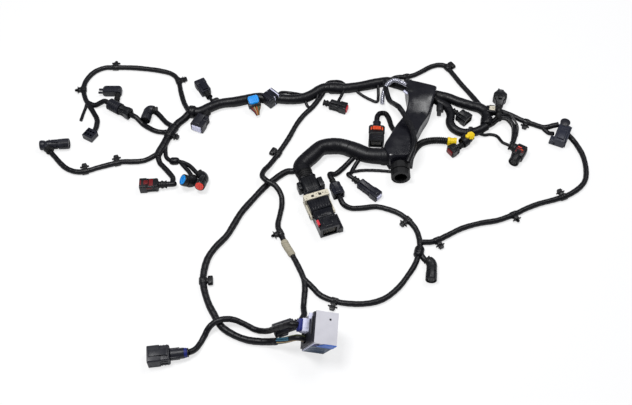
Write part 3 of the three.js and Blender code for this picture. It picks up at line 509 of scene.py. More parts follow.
def bar(stations, y=0.0, z=0.0):
    """A moulding along X: each station (x, width, height, corner, y, z) is a rounded rectangle there, joined
    to the next; a list that runs back to a smaller x inside a larger one makes an open socket."""
    rings = []
    for x, width, height, corner, *shift in stations:
        dy, dz = (*shift, 0, 0)[:2]
        section = ring_of(width, height, corner) + [y + dy, z + dz]
        rings.append(np.column_stack([np.full(len(section), x), section]))
    return np.stack(rings)


def soft_bar(x0, x1, width, height, corner=0.8, edge=0.5, y=0.0, z=0.0):
    """A bar with its end edges rounded: a smaller ring, then the full ring, at either end."""
    small = (width - 2 * edge, height - 2 * edge, max(corner - edge / 2, 0.1))
    mid = (width - 0.6 * edge, height - 0.6 * edge, corner)
    return bar([(x0, *small), (x0 + 0.3 * edge, *mid), (x0 + edge, width, height, corner),
                (x1 - edge, width, height, corner), (x1 - 0.3 * edge, *mid), (x1, *small)], y, z)


def spot(x, y, z, turn=0.0, tip=0.0, roll=0.0):
    """A place: rolled about X, then tipped nose up about Y, then turned in plan about Z, then moved there."""
    a, b, c = (math.radians(v) for v in (roll, -tip, turn))
    about_x = np.array([[1, 0, 0], [0, math.cos(a), -math.sin(a)], [0, math.sin(a), math.cos(a)]])
    about_y = np.array([[math.cos(b), 0, math.sin(b)], [0, 1, 0], [-math.sin(b), 0, math.cos(b)]])
    about_z = np.array([[math.cos(c), -math.sin(c), 0], [math.sin(c), math.cos(c), 0], [0, 0, 1]])
    place = np.eye(4)
    place[:3, :3] = about_z @ about_y @ about_x
    place[:3, 3] = x, y, z
    return place


def moulded(name, colour, roughness=0.44, grain=0.9, tone=0.25, **gloss):
    """Injection-moulded plastic: a fine spark-eroded grain, slow differences of tone and of shine from
    handling."""
    made, tree, surface = finish(name, colour, roughness, **gloss)
    spots = node(tree, "TexCoord")
    # The mould's grain is 0.1 mm; it is drawn several times coarser so that it shows
    fine = node(tree, "TexNoise", {"Vector": spots.outputs["Object"], "Scale": 1000 / grain, "Detail": 2.0})
    slow = node(tree, "TexNoise", {"Vector": spots.outputs["Object"], "Scale": 60.0, "Detail": 4.0})
    base = np.array(linear(colour))
    dark, light = base * (1 - tone), base * (1 + tone)
    dark[3] = light[3] = 1
    mix = node(tree, "Mix", {0: slow, 6: dark, 7: np.minimum(light, 1)}, data_type="RGBA")
    tree.links.new(mix.outputs[2], surface.inputs["Base Color"])
    rough = node(tree, "MapRange", {"Value": slow, "From Min": 0.3, "From Max": 0.7,
                                              "To Min": roughness - 0.1, "To Max": roughness + 0.12})
    tree.links.new(rough.outputs[0], surface.inputs["Roughness"])
    relief = node(tree, "Bump", {"Height": fine, "Strength": 0.25, "Distance": 0.0002})
    tree.links.new(relief.outputs[0], surface.inputs["Normal"])
    return made


black_nylon = moulded("black_nylon", "#0e0e10", 0.38)


def clip(name, lead, share, side, foot):
    """A clip on a lead: strap, post, wing and foot (or one oval pad), its X turned away from the lead on the
    side."""
    r = leads[lead][2] * 500
    profile = [(-6, 0.1), (-5.8, 1.1), (-5, 1.4), (5, 1.4), (5.8, 1.1), (6, 0.1)]
    strap = turned([(x, r + more) for x, more in profile])
    out = spot(0, 0, 0, 90 * side)
    shells = [soft_bar(r - 1, r + 6, 8, min(2 * r + 1, 9), 1.2), soft_bar(r + 5.4, r + 6.6, 17, 5, 1.5, 0.3)]
    if foot == "pad":
        shells = [soft_bar(r - 1, r + 4, 8, 8, 1.5), soft_bar(r + 2, r + 11, 18, 9, 4, 1.6)]
    elif foot == "block":
        shells += [soft_bar(r + 6.4, r + 12.6, 8, 6.5, 1), soft_bar(r + 8.4, r + 9.6, 10, 8, 1.2, 0.3)]
    else:
        barbs = [(6.4, 2), (7.6, 3.8), (7.9, 2.2), (9.4, 3.5), (9.7, 2), (11.2, 2.8), (12.6, 0.8)]
        shells += [turned([(r + x, thick) for x, thick in barbs], 20)]
    tie = soft_bar(-2.4, 2.4, 5, 3, 0.8, 0.4, z=r + 1.4)
    mould(name, [(black_nylon, [strap, tie] + [placed(shell, out) for shell in shells])], leads[lead][3],
        along(lead, share))


for number, (lead, share, side, foot) in enumerate((
        ("left_trunk", 0.55, 1, "block"), ("loop_lead", 0.2, -1, "block"), ("loop_lead", 0.52, -1, "barbs"),
        ("loop_lead", 0.735, -1, "barbs"), ("far_left_lead", 0.345, -1, "block"),
        ("far_left_lead", 0.61, -1, "block"), ("diagonal_lead", 0.32, -1, "pad"),
        ("diagonal_lead", 0.672, -1, "barbs"), ("ring_lead", 0.142, -1, "block"),
        ("ring_lead", 0.7, 1, "block"), ("long_lead", 0.555, 1, "pad"), ("upper_right_lead", 0.53, 1, "pad"),
        ("upper_right_lead", 0.178, -1, "barbs"), ("right_lead", 0.61, -1, "block"),
        ("far_right_lead", 0.38, -1, "block"), ("far_right_lead", 0.6, 1, "barbs"),
        ("far_right_lead", 0.93, 1, "block"))):
    clip(f"clip_{number + 1}_{lead}", lead, share, side, foot)


# Straight plugs. Black glass-filled polyester housings: a ringed rubber boot at the rear, a body with side
# rails and a latch on top, and a collar round the open socket, in which the terminal block stands. Some have
# a coloured face.
rubber = moulded("black_rubber", "#0b0b0c", 0.6, tone=0.2, **{"Specular IOR Level": 0.35})
black = moulded("black_polyester", "#101114", 0.36)
blue_black = moulded("blue_black_polyester", "#171822", 0.36)
grey = moulded("grey_polyester", "#1b1c23", 0.4)
# Near-black for the holes of the terminal blocks and cores: painted shade in their cavities.
deep = moulded("shaded_cavity", "#050505", 0.8)
brass = moulded("tinned_brass_terminals", "#a9a18c", 0.3, Metallic=1.0)
red = moulded("red_lock_plastic", "#cf2c3a", 0.4, tone=0.12)
dark_red = moulded("dark_red_lock_plastic", "#6e1418", 0.42, tone=0.2)
coral = moulded("coral_lock_plastic", "#e2473c", 0.42, tone=0.12)
orange = moulded("orange_lock_plastic", "#e0501f", 0.42, tone=0.15)
pale = moulded("white_lock_plastic", "#d3d4ea", 0.42, tone=0.08)
blue = moulded("blue_lock_plastic", "#1790e2", 0.36, tone=0.2)
navy = moulded("navy_silicone_seal", "#16206c", 0.5, tone=0.25)
yellow = moulded("yellow_lock_plastic", "#e6c514", 0.42, tone=0.1)

wall, mouth_depth = 2.0, 9.0  # millimetres, of every housing that is open at its nose


def boot(x0, x1, diameter, rings):
    """A boot with rings: the radius rises and falls as a cosine of the place along it, flattened at its
    crests."""
    groove = 0.75  # half the rings' height
    x = np.linspace(x0, x1, 12 * rings + 1)
    wave = np.cos(2 * np.pi * rings * (x - x0) / (x1 - x0))
    r = diameter / 2 - groove + groove * np.tanh(2.5 * wave)
    return turned(np.column_stack([np.append(x0 - 0.2, x), np.append(r[0] - 1.2, r)]))


def socket(x0, end, width, height, collar):
    """A housing open at its nose: out along the body, over the collar's step, round the rim and back
    inside."""
    rim, corner = 1.2, 2.0
    w, h = width + 2 * rim, height + 2 * rim
    inner = (width - 2 * wall, height - 2 * wall, corner * 0.6)
    step = end - collar
    return bar([(x0, width - 2.4, height - 2.4, corner), (x0 + 0.8, width - 0.5, height - 0.5, corner),
        (x0 + 1.6, width, height, corner), (step - 0.8, width, height, corner),
        (step, w - 0.5, h - 0.5, corner + 0.4), (step + 0.5, w, h, corner + 0.4),
        (end - 0.7, w, h, corner + 0.4), (end, w - 1.2, h - 1.2, corner + 0.2),
        (end, inner[0] + 0.8, inner[1] + 0.8, inner[2]), (end - 0.6, *inner), (end - mouth_depth, *inner)])


def terminal_block(end, width, height, depth=mouth_depth, rows=2, columns=3):
    """The block in a socket, with a near-black disc of painted shade in each way's cavity and a bright
    contact.
    """
    across = (np.arange(columns) - (columns - 1) / 2) * (width / columns)
    over = (np.arange(rows) - (rows - 1) / 2) * (height / rows)
    cavity, contact = 1.9, 0.7
    holes, pins = [], []
    for y in across:
        for z in over:
            holes.append(bar([(x, cavity, cavity, 0.3) for x in (end - 2.4, end - 1.85)], y, z))
            pins.append(bar([(x, contact, contact, 0.1) for x in (end - 2.0, end - 1.7)], y, z))
    return [soft_bar(end - depth - 1, end - 2, width, height, 1.0)], holes, pins


def latch(x0, end, width, height):
    """A latch: a thin arm over the top that springs from its front root and ends in a thumb tab at the
    rear."""
    arm = bar([(x0, width * 0.5, 1.2, 0.4, 0, 1.4), (x0 + 0.4, width * 0.5, 2.4, 0.5, 0, 1.2),
               (x0 + 3, width * 0.5, 2.2, 0.5, 0, 1.2), (x0 + 4.5, width * 0.4, 1.4, 0.4, 0, 0.9),
               (end - 5, width * 0.4, 1.4, 0.4, 0, 0.9), (end - 3.5, width * 0.46, 2.6, 0.5, 0, 0.4),
               (end - 2.2, width * 0.46, 2.2, 0.5, 0, 0)], z=height / 2 + 1)
    return [arm]


def straight_plug(name, at, turn, boot_length, boot_diameter, length, width, height, collar, rings=2,
                  look=black, face=None, boot_look=rubber, bands=2, latched=True, more=()):
    """A straight plug from its sizes in millimetres, lying on its collar or its boot; gives back its
    place."""
    end = boot_length + length
    place = spot(*at, max(height / 2 + 1.2, boot_diameter / 2), turn)
    block, holes, pins = terminal_block(end, width - 8, height - 9 if height > 12 else 3)
    body = [socket(boot_length, end, width, height, collar)] + block
    rails = [soft_bar(boot_length + 3, end - collar - 1, 1.6, 2.2, 0.5, 0.3, y=side * (width / 2 + 0.3), z=z)
             for side in (-1, 1) for z in (-height * 0.18, height * 0.18)]
    x = np.linspace(boot_length + 3.5, end - collar - 2.5, bands)
    ribs = [soft_bar(v - 0.8, v + 0.8, width + 0.9, height + 0.9, 2, 0.4) for v in x]
    body += rails + ribs + (latch(boot_length + 2.5, end - 1, width, height) if latched else [])
    parts = [(look, body), (boot_look, [boot(0, boot_length + 1, boot_diameter, rings)]), (deep, holes),
             (brass, pins)]
    if face:
        parts.append((face, [
            bar([(end - 3, width - 4.6, height - 4.6, 1), (end + 1.6, width - 4.6, height - 4.6, 1),
                    (end + 2.2, width - 6, height - 6, 1)])]))
    mould("moulding_" + name, parts + list(more), "plug_" + name, place)
    return place


straight_plug("hooked", (-202, 233), 120, 13, 13, 34, 20, 16, 12, look=blue_black)
straight_plug("white_faced", (-203, 193), -114, 14, 15, 31, 24, 18, 16, look=grey, face=pale)
straight_plug("red_ended", (24, 220), -20, 13, 13, 35, 17, 15, 14, face=red)
straight_plug("great", (-197, -319), -173, 30, 15, 36, 27, 21, 20, rings=3, look=grey, boot_look=black,
    bands=3, more=[
    (grey,
        [turned([(6, 6), (7, 8.6), (10, 8.9), (28, 8.9), (30.5, 7)], 32), soft_bar(14, 31, 19.5, 9, 2, 0.8)]),
    (navy, [turned([(0, 5), (0.5, 6.6), (4, 8), (7, 8.2), (7.5, 7)], 32)])])
straight_plug("small_white", (79, 33), -43, 14, 13, 47, 17, 14, 16, look=blue_black, face=pale, bands=3)
straight_plug("stepped", (-396, 213), -32, 25, 24, 26, 17, 15, 10, rings=5, boot_look=grey)
straight_plug("side", (39, 29), -71, 10, 12, 28, 19, 16, 14, look=blue_black)
straight_plug("mid_right", (278, 199), -45, 14, 11, 24, 22, 16, 12)
mould("moulding_upright", [
    (rubber, [boot(0, 34, 14, 3)]),
    (black, [
        bar([(32, 12, 11, 3), (36, 15, 13, 3), (45, 17, 15, 3), (49, 23, 19, 3), (62, 25, 21, 3),
                (64, 23, 20, 4), (72, 15, 14, 4), (76, 10, 9, 3)]),
        soft_bar(52, 56, 26, 22, 3, 0.6), soft_bar(46, 60, 8, 3, 1, 0.5, z=10.4),
        soft_bar(58, 61, 26.2, 20, 3, 0.5)]),
    (grey, [soft_bar(64, 74, 3, 3, 1, 0.4, y=4, z=7), soft_bar(64, 71, 3, 3, 1, 0.4, y=-4, z=8)])],
    "plug_upright", spot(363, 174, 11.2, 80))
straight_plug("red_orange", (287, 112), -145, 12, 12, 18, 18, 16, 10, face=dark_red)
red_locked_place = straight_plug("red_locked", (-266, 19), -176, 15, 15, 34, 20, 17, 13, latched=False, more=[
    (dark_red, [soft_bar(24, 31.5, 15, 0.8, 0.5, 0.3, z=8.6), soft_bar(45.5, 48, 11, 0.8, 0.5, 0.3, z=9.8),
        soft_bar(26, 46, 0.8, 4, 0.4, 0.3, y=10.3, z=3)])])
orange_locked_place = straight_plug("orange_locked", (127, 166), -94, 15, 16, 38, 27, 20, 14,
    boot_look=blue_black, latched=False, more=[
    (black, [
        soft_bar(14.5, 18.4, 29, 22, 4, 1.2), soft_bar(31, 34, 27.8, 20.8, 2, 0.6),
        *[soft_bar(16, 31, 2.4, 6, 0.8, 0.5, y=v, z=6) for v in (-14.2, 14.2)]]),
    (orange, [soft_bar(20, 27, 2.2, 1.2, 0.5, 0.3, y=v, z=10.2) for v in (-10.6, 10.6)]),
    (grey, [soft_bar(42, 44, 18, 1.2, 0.5, 0.3, z=11.1), soft_bar(47, 48.5, 14, 1.2, 0.5, 0.3, z=11.1)])])


# Sliding locks of two of the plugs: a ribbed tab of bright nylon in a pocket on top of the housing, which the
# fitter pushes forward to lock the latch.
for name, body, tab, place, look, slot in (
        ("red", "red_lock", (33, 8, 9, 10.5), red_locked_place, dark_red, "dark_red_plastic"),
        ("orange", "orange_lock", (19, 8, 16, 13), orange_locked_place, orange, "orange_plastic")):
    x, length, width, top = tab
    ridges = [soft_bar(v - 0.5, v + 0.5, width - 2, 1.2, 0.4, 0.3, z=top + 0.2)
              for v in np.linspace(x + 1.5, x + 6.5, 4)]
    mould(f"tab_{name}", [(look, [soft_bar(x, x + length, width, 4, 0.8, 0.5, z=top - 2)] + ridges)],
        f"lock_{name}", place, body)


# Round plugs. A boot, a barrel with a shoulder, and an open mouth with a round core: one on the long diagonal
# lead, and one with a yellow cap by the conduit.
def barrel(x0, x1, radius, depth=mouth_depth, shoulder=0.4):
    """A round housing open at its nose, from a profile that runs out over the shoulder, round the rim and
    inside."""
    s = x0 + (x1 - x0) * shoulder
    return turned([(x0, radius - 3.2), (x0 + 0.6, radius - 2.2), (x0 + 1.2, radius - 2),
        (s - 0.5, radius - 2), (s, radius - 0.4), (s + 0.5, radius), (x1 - 0.8, radius), (x1, radius - 0.6),
        (x1, radius - wall + 0.4), (x1 - 0.5, radius - wall), (x1 - depth, radius - wall)], 36)


def round_core(end, radius, look):
    """The core in a round mouth, with a near-black disc of painted shade in each of its four contact holes,
    in a ring.
    """
    angle = 2 * np.pi * (np.arange(4) + 0.5) / 4
    holes = [turned([(end - 1.4, 1.1), (end - 0.85, 1.1)], 12, y, z)
             for y, z in np.column_stack([np.cos(angle), np.sin(angle)]) * radius * 0.5]
    return [
        (look, [turned([(end - 10, radius), (end - 1.5, radius), (end - 1, radius - 0.5)], 28)]),
        (deep, holes)]


mould("moulding_round_mouthed", [
    (grey,
        [barrel(8, 44, 12), soft_bar(12, 26, 14, 5, 1, 0.5, z=10.5), soft_bar(24, 40, 8, 4, 1, 0.5, y=10.5)]),
    (rubber, [boot(0, 9, 15, 2)])] + round_core(44, 8, black), "plug_round_mouthed",
    spot(-19, -266, 13.2, -159))
mould("moulding_yellow_round", [
    (black, [barrel(6, 26, 10.5), soft_bar(8, 20, 8, 12, 2, 0.6, y=-7, z=2)]), (rubber, [boot(0, 7, 14, 2)]),
    (yellow, [
        turned([(2, 5), (2.4, 7.2), (5.4, 7.6), (5.8, 5)], 28),
        turned([(-3, 3.2), (-2.4, 4), (2.4, 4), (3, 3.2)], 24) @ spot(0, 0, 0, 0, 90)[:3, :3].T
            + np.array([14, 0, 10.4])])] + round_core(26, 6.5, black), "plug_yellow_round",
    spot(307, 131, 11.7, -140))


# Elbow plugs. An arm from the lead, a knee and a barrel that turns down to the sensor, all moulded in one.
# Two have a coloured face that fills the mouth.
def bent(arm, onward, radius, reach):
    """A round bend from the arm to the barrel: rings along a parabola tangent to both, its middle at the
    knee."""
    back = min(arm * 0.55, radius)
    share = np.linspace(0, 1, 12)[:, None]
    p0, p1 = np.array([arm - back, 0.0, 0.0]), np.array([arm, 0.0, 0.0])
    line = (1 - share) ** 2 * p0 + 2 * share * (1 - share) * p1 + share**2 * (p1 + back * onward)
    line = np.vstack([[0.3 * arm, 0, 0], line, p1 + reach * onward])
    grow = np.interp(np.arange(len(line)), [0, 1, len(line) - 1], [radius - 2.2, radius - 1.2, radius - 0.8])
    return tube(line, grow, 32)


def elbow_plug(name, at, turn, diameter, arm, bend, length, mouth, look=black, face=None, rise=0, more=()):
    """An elbow plug from its sizes in millimetres; its barrel turns by the bend in plan and rises by the
    rise."""
    r = diameter / 2
    nose = spot(arm, 0, 0, bend, rise)
    shells = [bent(arm, nose[:3, 0], r, length * 0.5),
              placed(barrel(2, length, r, depth=mouth, shoulder=0.55), nose)]
    shells += [placed(turned([(v - 0.7, r - 2.2), (v - 0.5, r - 0.6), (v + 0.5, r - 0.6), (v + 0.7, r - 2.2)],
                             32), nose)
               for v in np.linspace(length * 0.2, length * 0.48, 3)]
    shells += [placed(soft_bar(length * 0.3, length - 1, 7, 3, 0.8, 0.4, z=r - 0.4), nose)]
    parts = [(look, shells), (rubber, [boot(0, arm * 0.8, diameter - 3, 2)])]
    core = round_core(length, r - 3.6, face or black)
    if face:
        core = [(face, [turned([(length - 4, r - 1.9), (length + 0.4, r - 2.1), (length + 1, r - 3)], 32)]
                 + [soft_bar(length + 0.9, length + 1.5, 1.4, 2 * r - 8, 0.4, 0.2, y=v) for v in (-3, 0, 3)])]
    parts += [(kind, [placed(shell, nose) for shell in several]) for kind, several in core + list(more)]
    mould("moulding_" + name, parts, "plug_" + name, spot(*at, r, turn))


def knurled(x0, x1, radius):
    """A grip ring: its radius rises and falls round it, one squared-off tooth after another."""
    teeth = 14
    angle = 2 * np.pi * np.arange(teeth * 6) / (teeth * 6)
    r = radius + 0.5 * np.tanh(3 * np.cos(teeth * angle))
    rows = [(x0, r - 1.5), (x0 + 0.5, r), (x1 - 0.5, r), (x1, r - 1.5)]
    return np.stack(
        [np.stack([np.full(len(angle), x), k * np.cos(angle), k * np.sin(angle)], -1) for x, k in rows])


elbow_plug("booted_elbow", (-304, 197), 162, 20, 15, 99, 30, 8, look=grey)
elbow_plug("far_left", (-494, 97), 132, 20, 19, -127, 46, 8, look=grey, more=[
    (black, [knurled(33, 44, 9.9)]),
    (grey, [turned([(-9, 7), (-8.6, 9.0), (-6, 9.8), (0, 9)], 28),
        turned([(8, 9), (8.5, 10.1), (9.5, 10.1), (10, 9)], 28)])])
mould("moulding_left_elbow", [
    (rubber, [boot(9, 30, 12, 3), turned([(-2, 3.6), (-1, 4), (12, 4), (13, 3.6)], 20)]),
    (grey, [
        bar([(28, 34, 13, 3, 11, 0), (29, 37, 16, 5, 12, 0), (32, 38, 17, 6, 12, 0), (41, 38, 17, 6, 12, 0),
                (44, 36, 15, 6, 12, 0), (45, 31, 10, 4, 11, 0)]),
        *[soft_bar(30, 43, 1.4, 17.6, 0.5, 0.4, y=v) for v in (10, 15, 20)],
        soft_bar(31, 42, 8, 19, 3, 1, y=-2)]),
    (blue_black, [soft_bar(30.5, 34, 11, 4, 1, 0.5, y=34), soft_bar(38.5, 42, 11, 4, 1, 0.5, y=34)])],
    "plug_left_elbow", spot(-385, 214, 8.5, 90))
elbow_plug("ring_elbow", (201, -143), -38, 20, 11, -59, 35, 10)
elbow_plug("red_faced", (-209, 44), -37, 20, 15, -66, 31, 3, face=coral, rise=20)
elbow_plug("blue_faced", (-219, 34), -90, 22, 12, -78, 21, 3, face=blue, rise=40)
elbow_plug("far_right", (377, 110), -32, 20, 23, -90, 34, 9, more=[
    (black, [soft_bar(-4, 19, 23, 18.4, 3, 1), soft_bar(-9, 2, 19, 16, 2.5, 1)]),
    (dark_red, [soft_bar(4, 7, 14, 1.2, 0.5, 0.3, y=-1, z=9.4), soft_bar(9, 11, 5, 1.2, 0.4, 0.3, y=5, z=9.4),
        soft_bar(10, 15, 2, 1.2, 0.4, 0.3, y=-6, z=9.4)]),
    (orange,
        [soft_bar(4.6, 6.4, 4, 0.8, 0.3, 0.2, y=3, z=10), soft_bar(12, 14, 3, 1.2, 0.4, 0.2, y=2, z=9.4)]),
    (coral, [soft_bar(0, 2, 8, 1.2, 0.4, 0.2, y=-3, z=9.4)])])


# Loose wires. Where the tape stops, before the control module and in the fan of the blue plug, the copper
# wires show in their own thin PVC insulation, 1.8 to 3.2 mm thick; three more, 4 mm thick, lie over the
# arch of the far right plug.
def strand(points, diameter):
    """A plain round wire through the points, in millimetres."""
    line, _ = smooth_way(points, 2.0)
    return tube(line, diameter / 2, 10)


insulation = {colour: moulded(f"{colour}_pvc_insulation", tone, 0.36, tone=0.15) for colour, tone in {
    "teal": "#2f6076", "tan": "#a38d66", "white": "#cfcdc6", "brown": "#5e3a22", "olive": "#4f5430",
    "orange": "#a4531f", "green": "#2f5a46", "red": "#7a1f22", "black": "#121214"}.items()}
wires_seen, twist = 0.060, 18  # metres of the long lead, and radians for each metre
line, lengths = leads["long_lead"][:2]
bare = lengths > lengths[-1] - wires_seen
line, lengths = line[bare] * 1000, lengths[bare] - lengths[bare][0]
_, left, up = frames_along(line)
for number, (colour, thick) in enumerate((
        ("teal", 3.2), ("teal", 2.8), ("tan", 1.8), ("white", 1.8), ("black", 2.4), ("brown", 2.0),
        ("black", 2.4), ("olive", 2.0))):
    turn = math.radians(55 + 45 * number) + twist * lengths
    out = (4.7 - 0.2 * thick) * np.clip(lengths / 0.006, 0.6, 1)
    route = line + out[:, None] * (np.cos(turn)[:, None] * left + np.sin(turn)[:, None] * up)
    seen = round(0.6 * len(route)) if colour == "teal" else len(route)
    mould(f"wire_{number + 1}_{colour}", [(insulation[colour], [strand(route[:seen:4], thick)])], None)
for number, points in enumerate((
        [(340, 158, 15), (352, 168, 13), (369, 182, 14), (384, 184, 15), (395, 170, 12), (397, 150, 8),
         (392, 132, 6)],
        [(341, 155, 12), (354, 164, 10), (368, 175, 12), (380, 171, 15), (387, 158, 12), (387, 142, 9),
         (384, 126, 8)],
        [(338, 162, 16), (349, 172, 9), (364, 186, 7), (378, 186, 9), (390, 176, 13), (399, 160, 9),
         (396, 138, 4)])):
    mould(f"loose_wire_{number + 1}", [(insulation["black"], [strand(points, 4)])], None)


# Blue plug and splice block on the upper trunk. A fan of nine wires rises to a black carrier with a bright
# blue lock on top of it; beside it a square black block grips the trunk, tied with light nylon.
fan_place = spot(-104, 187, 7.5, 109, 20)
fan = []
for colour, y, z in (("brown", -4, 0), ("olive", -3, 1.2), ("green", -2, 0.4), ("orange", -1, 1.6),
                     ("brown", 0, 0.2), ("tan", 1, 1.4), ("olive", 2, 0.3), ("red", 3, 1.2), ("black", 4, 0)):
    route = [(1, 0.5 * y, -1), (9, 1.2 * y, z), (16, 2.2 * y, z), (23, 2.6 * y, 0)]
    fan.append((insulation[colour], [strand(route, 2.6)]))
mould("moulding_blue_trunk", fan + [
    (black, [soft_bar(19, 42, 24, 10, 1.5, 0.6, z=-2), soft_bar(21, 27, 24.6, 11, 1.5, 0.4, z=-2)]),
    (blue, [
        bar([(24, 12, 3, 1, 0, 4), (26, 19, 7, 2, 0, 3.4), (30, 21, 8, 2, 0, 3), (37, 21, 8, 2, 0, 3),
                (40, 19, 7, 2, 0, 3), (41.5, 15, 4, 1, 0, 3)]),
        *[soft_bar(29, 38, 1.4, 1, 0.4, 0.3, y=v, z=7.2) for v in (-6, -2, 2, 6)]])], "plug_blue_trunk",
    fan_place)
splice_place = spot(-80, 228, 12.5, 45)
mould("moulding_splice", [
    (blue_black, [soft_bar(-13, 13, 26, 25, 2.5, 1), soft_bar(-12, 12, 27.2, 8, 1, 0.5),
        soft_bar(-5, 5, 20, 27, 1.5, 0.6), soft_bar(-13.4, -9, 12, 20, 1.5, 0.5),
        soft_bar(9, 13.4, 18, 14, 1.5, 0.5)]),
    (pale, [soft_bar(8, 10.5, 26.6, 25.6, 2.5, 0.3), soft_bar(-1, 0.6, 26.4, 25.4, 2.5, 0.3)])],
    "splice_block", splice_place)


# Main plug. The glass-filled black housing keeps its solid shape, with its pocket for the slider; on it stand
# cooling ribs, a latch and a keying step, and its mouth holds a block of small contacts. A backshell boot
# closes its rear.
main_place = spot(5, -9, 15.5, -70)
gloss = moulded("glossy_black_polyester", "#0f1016", 0.26, tone=0.2)
ribs = [soft_bar(23, 40, 1.6, 1.0, 0.4, 0.3, y=v, z=15.2) for v in np.linspace(-15, 15, 7)]
front = [soft_bar(45, 59, 26, 1.6, 0.8, 0.5, z=13.2), soft_bar(47, 57, 12, 1.4, 0.6, 0.4, z=14.4),
         soft_bar(60.5, 62, 30, 1.0, 0.4, 0.3, z=13.1), soft_bar(76, 81, 12, 1.8, 0.6, 0.5, z=13.4),
         soft_bar(64, 75, 2, 1, 0.4, 0.3, y=-8, z=13.2), soft_bar(64, 75, 2, 1, 0.4, 0.3, y=8, z=13.2)]
block, holes, pins = terminal_block(84, 22, 12, 8, rows=3, columns=7)
mould("main_housing_details", [(gloss, ribs + front), (black, block), (deep, holes), (brass, pins)], None,
    main_place)
mould("moulding_main_boot", [
    (rubber, [boot(-52, -35, 30, 4)]),
    (black, [soft_bar(-39, -0.4, 31, 26.5, 7, 1.6), soft_bar(-28, -8, 10, 22, 2.5, 1, y=20),
        soft_bar(-30, -14, 8, 20, 2.5, 1, y=-19), soft_bar(-21, -17, 12, 10, 2, 0.6, y=21),
        soft_bar(-26, -20, 5, 24, 1.5, 0.6, y=-19)]
        + [soft_bar(v - 1, v + 1, 32.6, 28, 7, 0.6) for v in (-36, -5, -2)]
        + [soft_bar(-31, -7, 2, 1.2, 0.4, 0.3, y=v, z=13.6) for v in (-8, -3, 3, 8)])], "main_boot",
    main_place)


# The main plug's lever is cast in cream polyester, with dark specks painted on it as the shade in small
# holes; it turns on two pins of the housing and pulls the plug home.
cream = moulded("cream_polyester", "#cfc8b4", 0.5, tone=0.14)
tree = cream.node_tree
surface = next(one for one in tree.nodes if one.type == "BSDF_PRINCIPLED")
spots = node(tree, "TexCoord")
# Dark specks: painted shade of small holes in the lever.
hole_speck_noise = node(tree, "TexNoise", {"Vector": spots.outputs["Object"], "Scale": 330.0, "Detail": 3.0})
painted_hole_dots = node(tree, "MapRange", {"Value": hole_speck_noise, "From Min": 0.58, "From Max": 0.66})
base = surface.inputs["Base Color"].links[0].from_socket
painted_hole_shade = node(tree, "Mix", {0: painted_hole_dots, 6: base, 7: linear("#57503f")}, data_type="RGBA")
tree.links.new(painted_hole_shade.outputs[2], surface.inputs["Base Color"])


# Control module. The cover is folded from zinc-plated sheet, bead-blasted to a light grey, over a black
# housing. A slate-blue label plate with pressed arcs and a blue band covers its front, and a white plug with
# a navy seal fills the upper socket.
module_width, nod, lean = 37, 14, 18  # millimetres and degrees; it stands on its lower right edge
module_place = spot(21, -315.5, 0, 0, -lean, nod)
module_place[:3, 3] -= module_width * module_place[:3, 0]
zinc = moulded("zinc_plated_sheet", "#cfced4", 0.42, grain=2.2, tone=0.07, Metallic=0.2)
slate = moulded("slate_blue_label", "#46566a", 0.36, tone=0.16)
band = moulded("blue_label_band", "#3f6cc4", 0.34, tone=0.12)
arcs = [placed(turned([(0, r - 0.5), (0.6, r - 0.3), (0.6, r + 0.3), (0, r + 0.5)], 40),
    spot(18, -0.9, 25, -90))
    for r in (13, 9, 5)]
edging = [soft_bar(0.2, 36.8, 0.8, 0.8, 0.3, 0.2, y=-1.0, z=v) for v in (2, 45.5)]
mould("module_label", [
    (slate, [soft_bar(0.3, 36.7, 1.4, 47, 0.5, 0.4, y=-0.5, z=24)] + arcs + edging),
    (band, [
        bar([(9, 1.2, 4, 0.4, -0.8, 50), (17, 1.6, 19, 0.6, -0.8, 57.5), (36.6, 1.6, 21, 0.6, -0.8, 57.4),
                (37.3, 1.0, 20, 0.4, -0.8, 57.4)])]),
    (navy, [bar([(1, 1.0, 6, 0.4, -0.6, 51), (10, 1.0, 15, 0.4, -0.6, 57)])]),
    (pale, [soft_bar(0.2, 1.6, 0.8, 66, 0.3, 0.2, y=-0.9, z=34)])], None, module_place)
mould("moulding_module_plug", [
    (pale, [soft_bar(-14, -3.4, 22, 18, 2, 0.8, y=32, z=36), soft_bar(-12, -5, 12, 20, 2, 0.8, y=32, z=36),
        soft_bar(-4, 6, 17, 13, 1, 0.4, y=32, z=36)]),
    (navy, [soft_bar(-20, -13.5, 20, 16, 3, 1, y=32, z=36)])], "module_plug", module_place)
mould("module_inside", [
    (pale,
        [soft_bar(-9, -3.2, 10, 3, 0.8, 0.4, y=44, z=58), soft_bar(-7, -3.2, 3, 12, 0.8, 0.4, y=46, z=50)]),
    (black,
        [soft_bar(-5, -3.1, 30, 3, 0.8, 0.4, y=28, z=62), soft_bar(-6, -3.1, 8, 8, 0.8, 0.4, y=42, z=20)])],
    None, module_place)


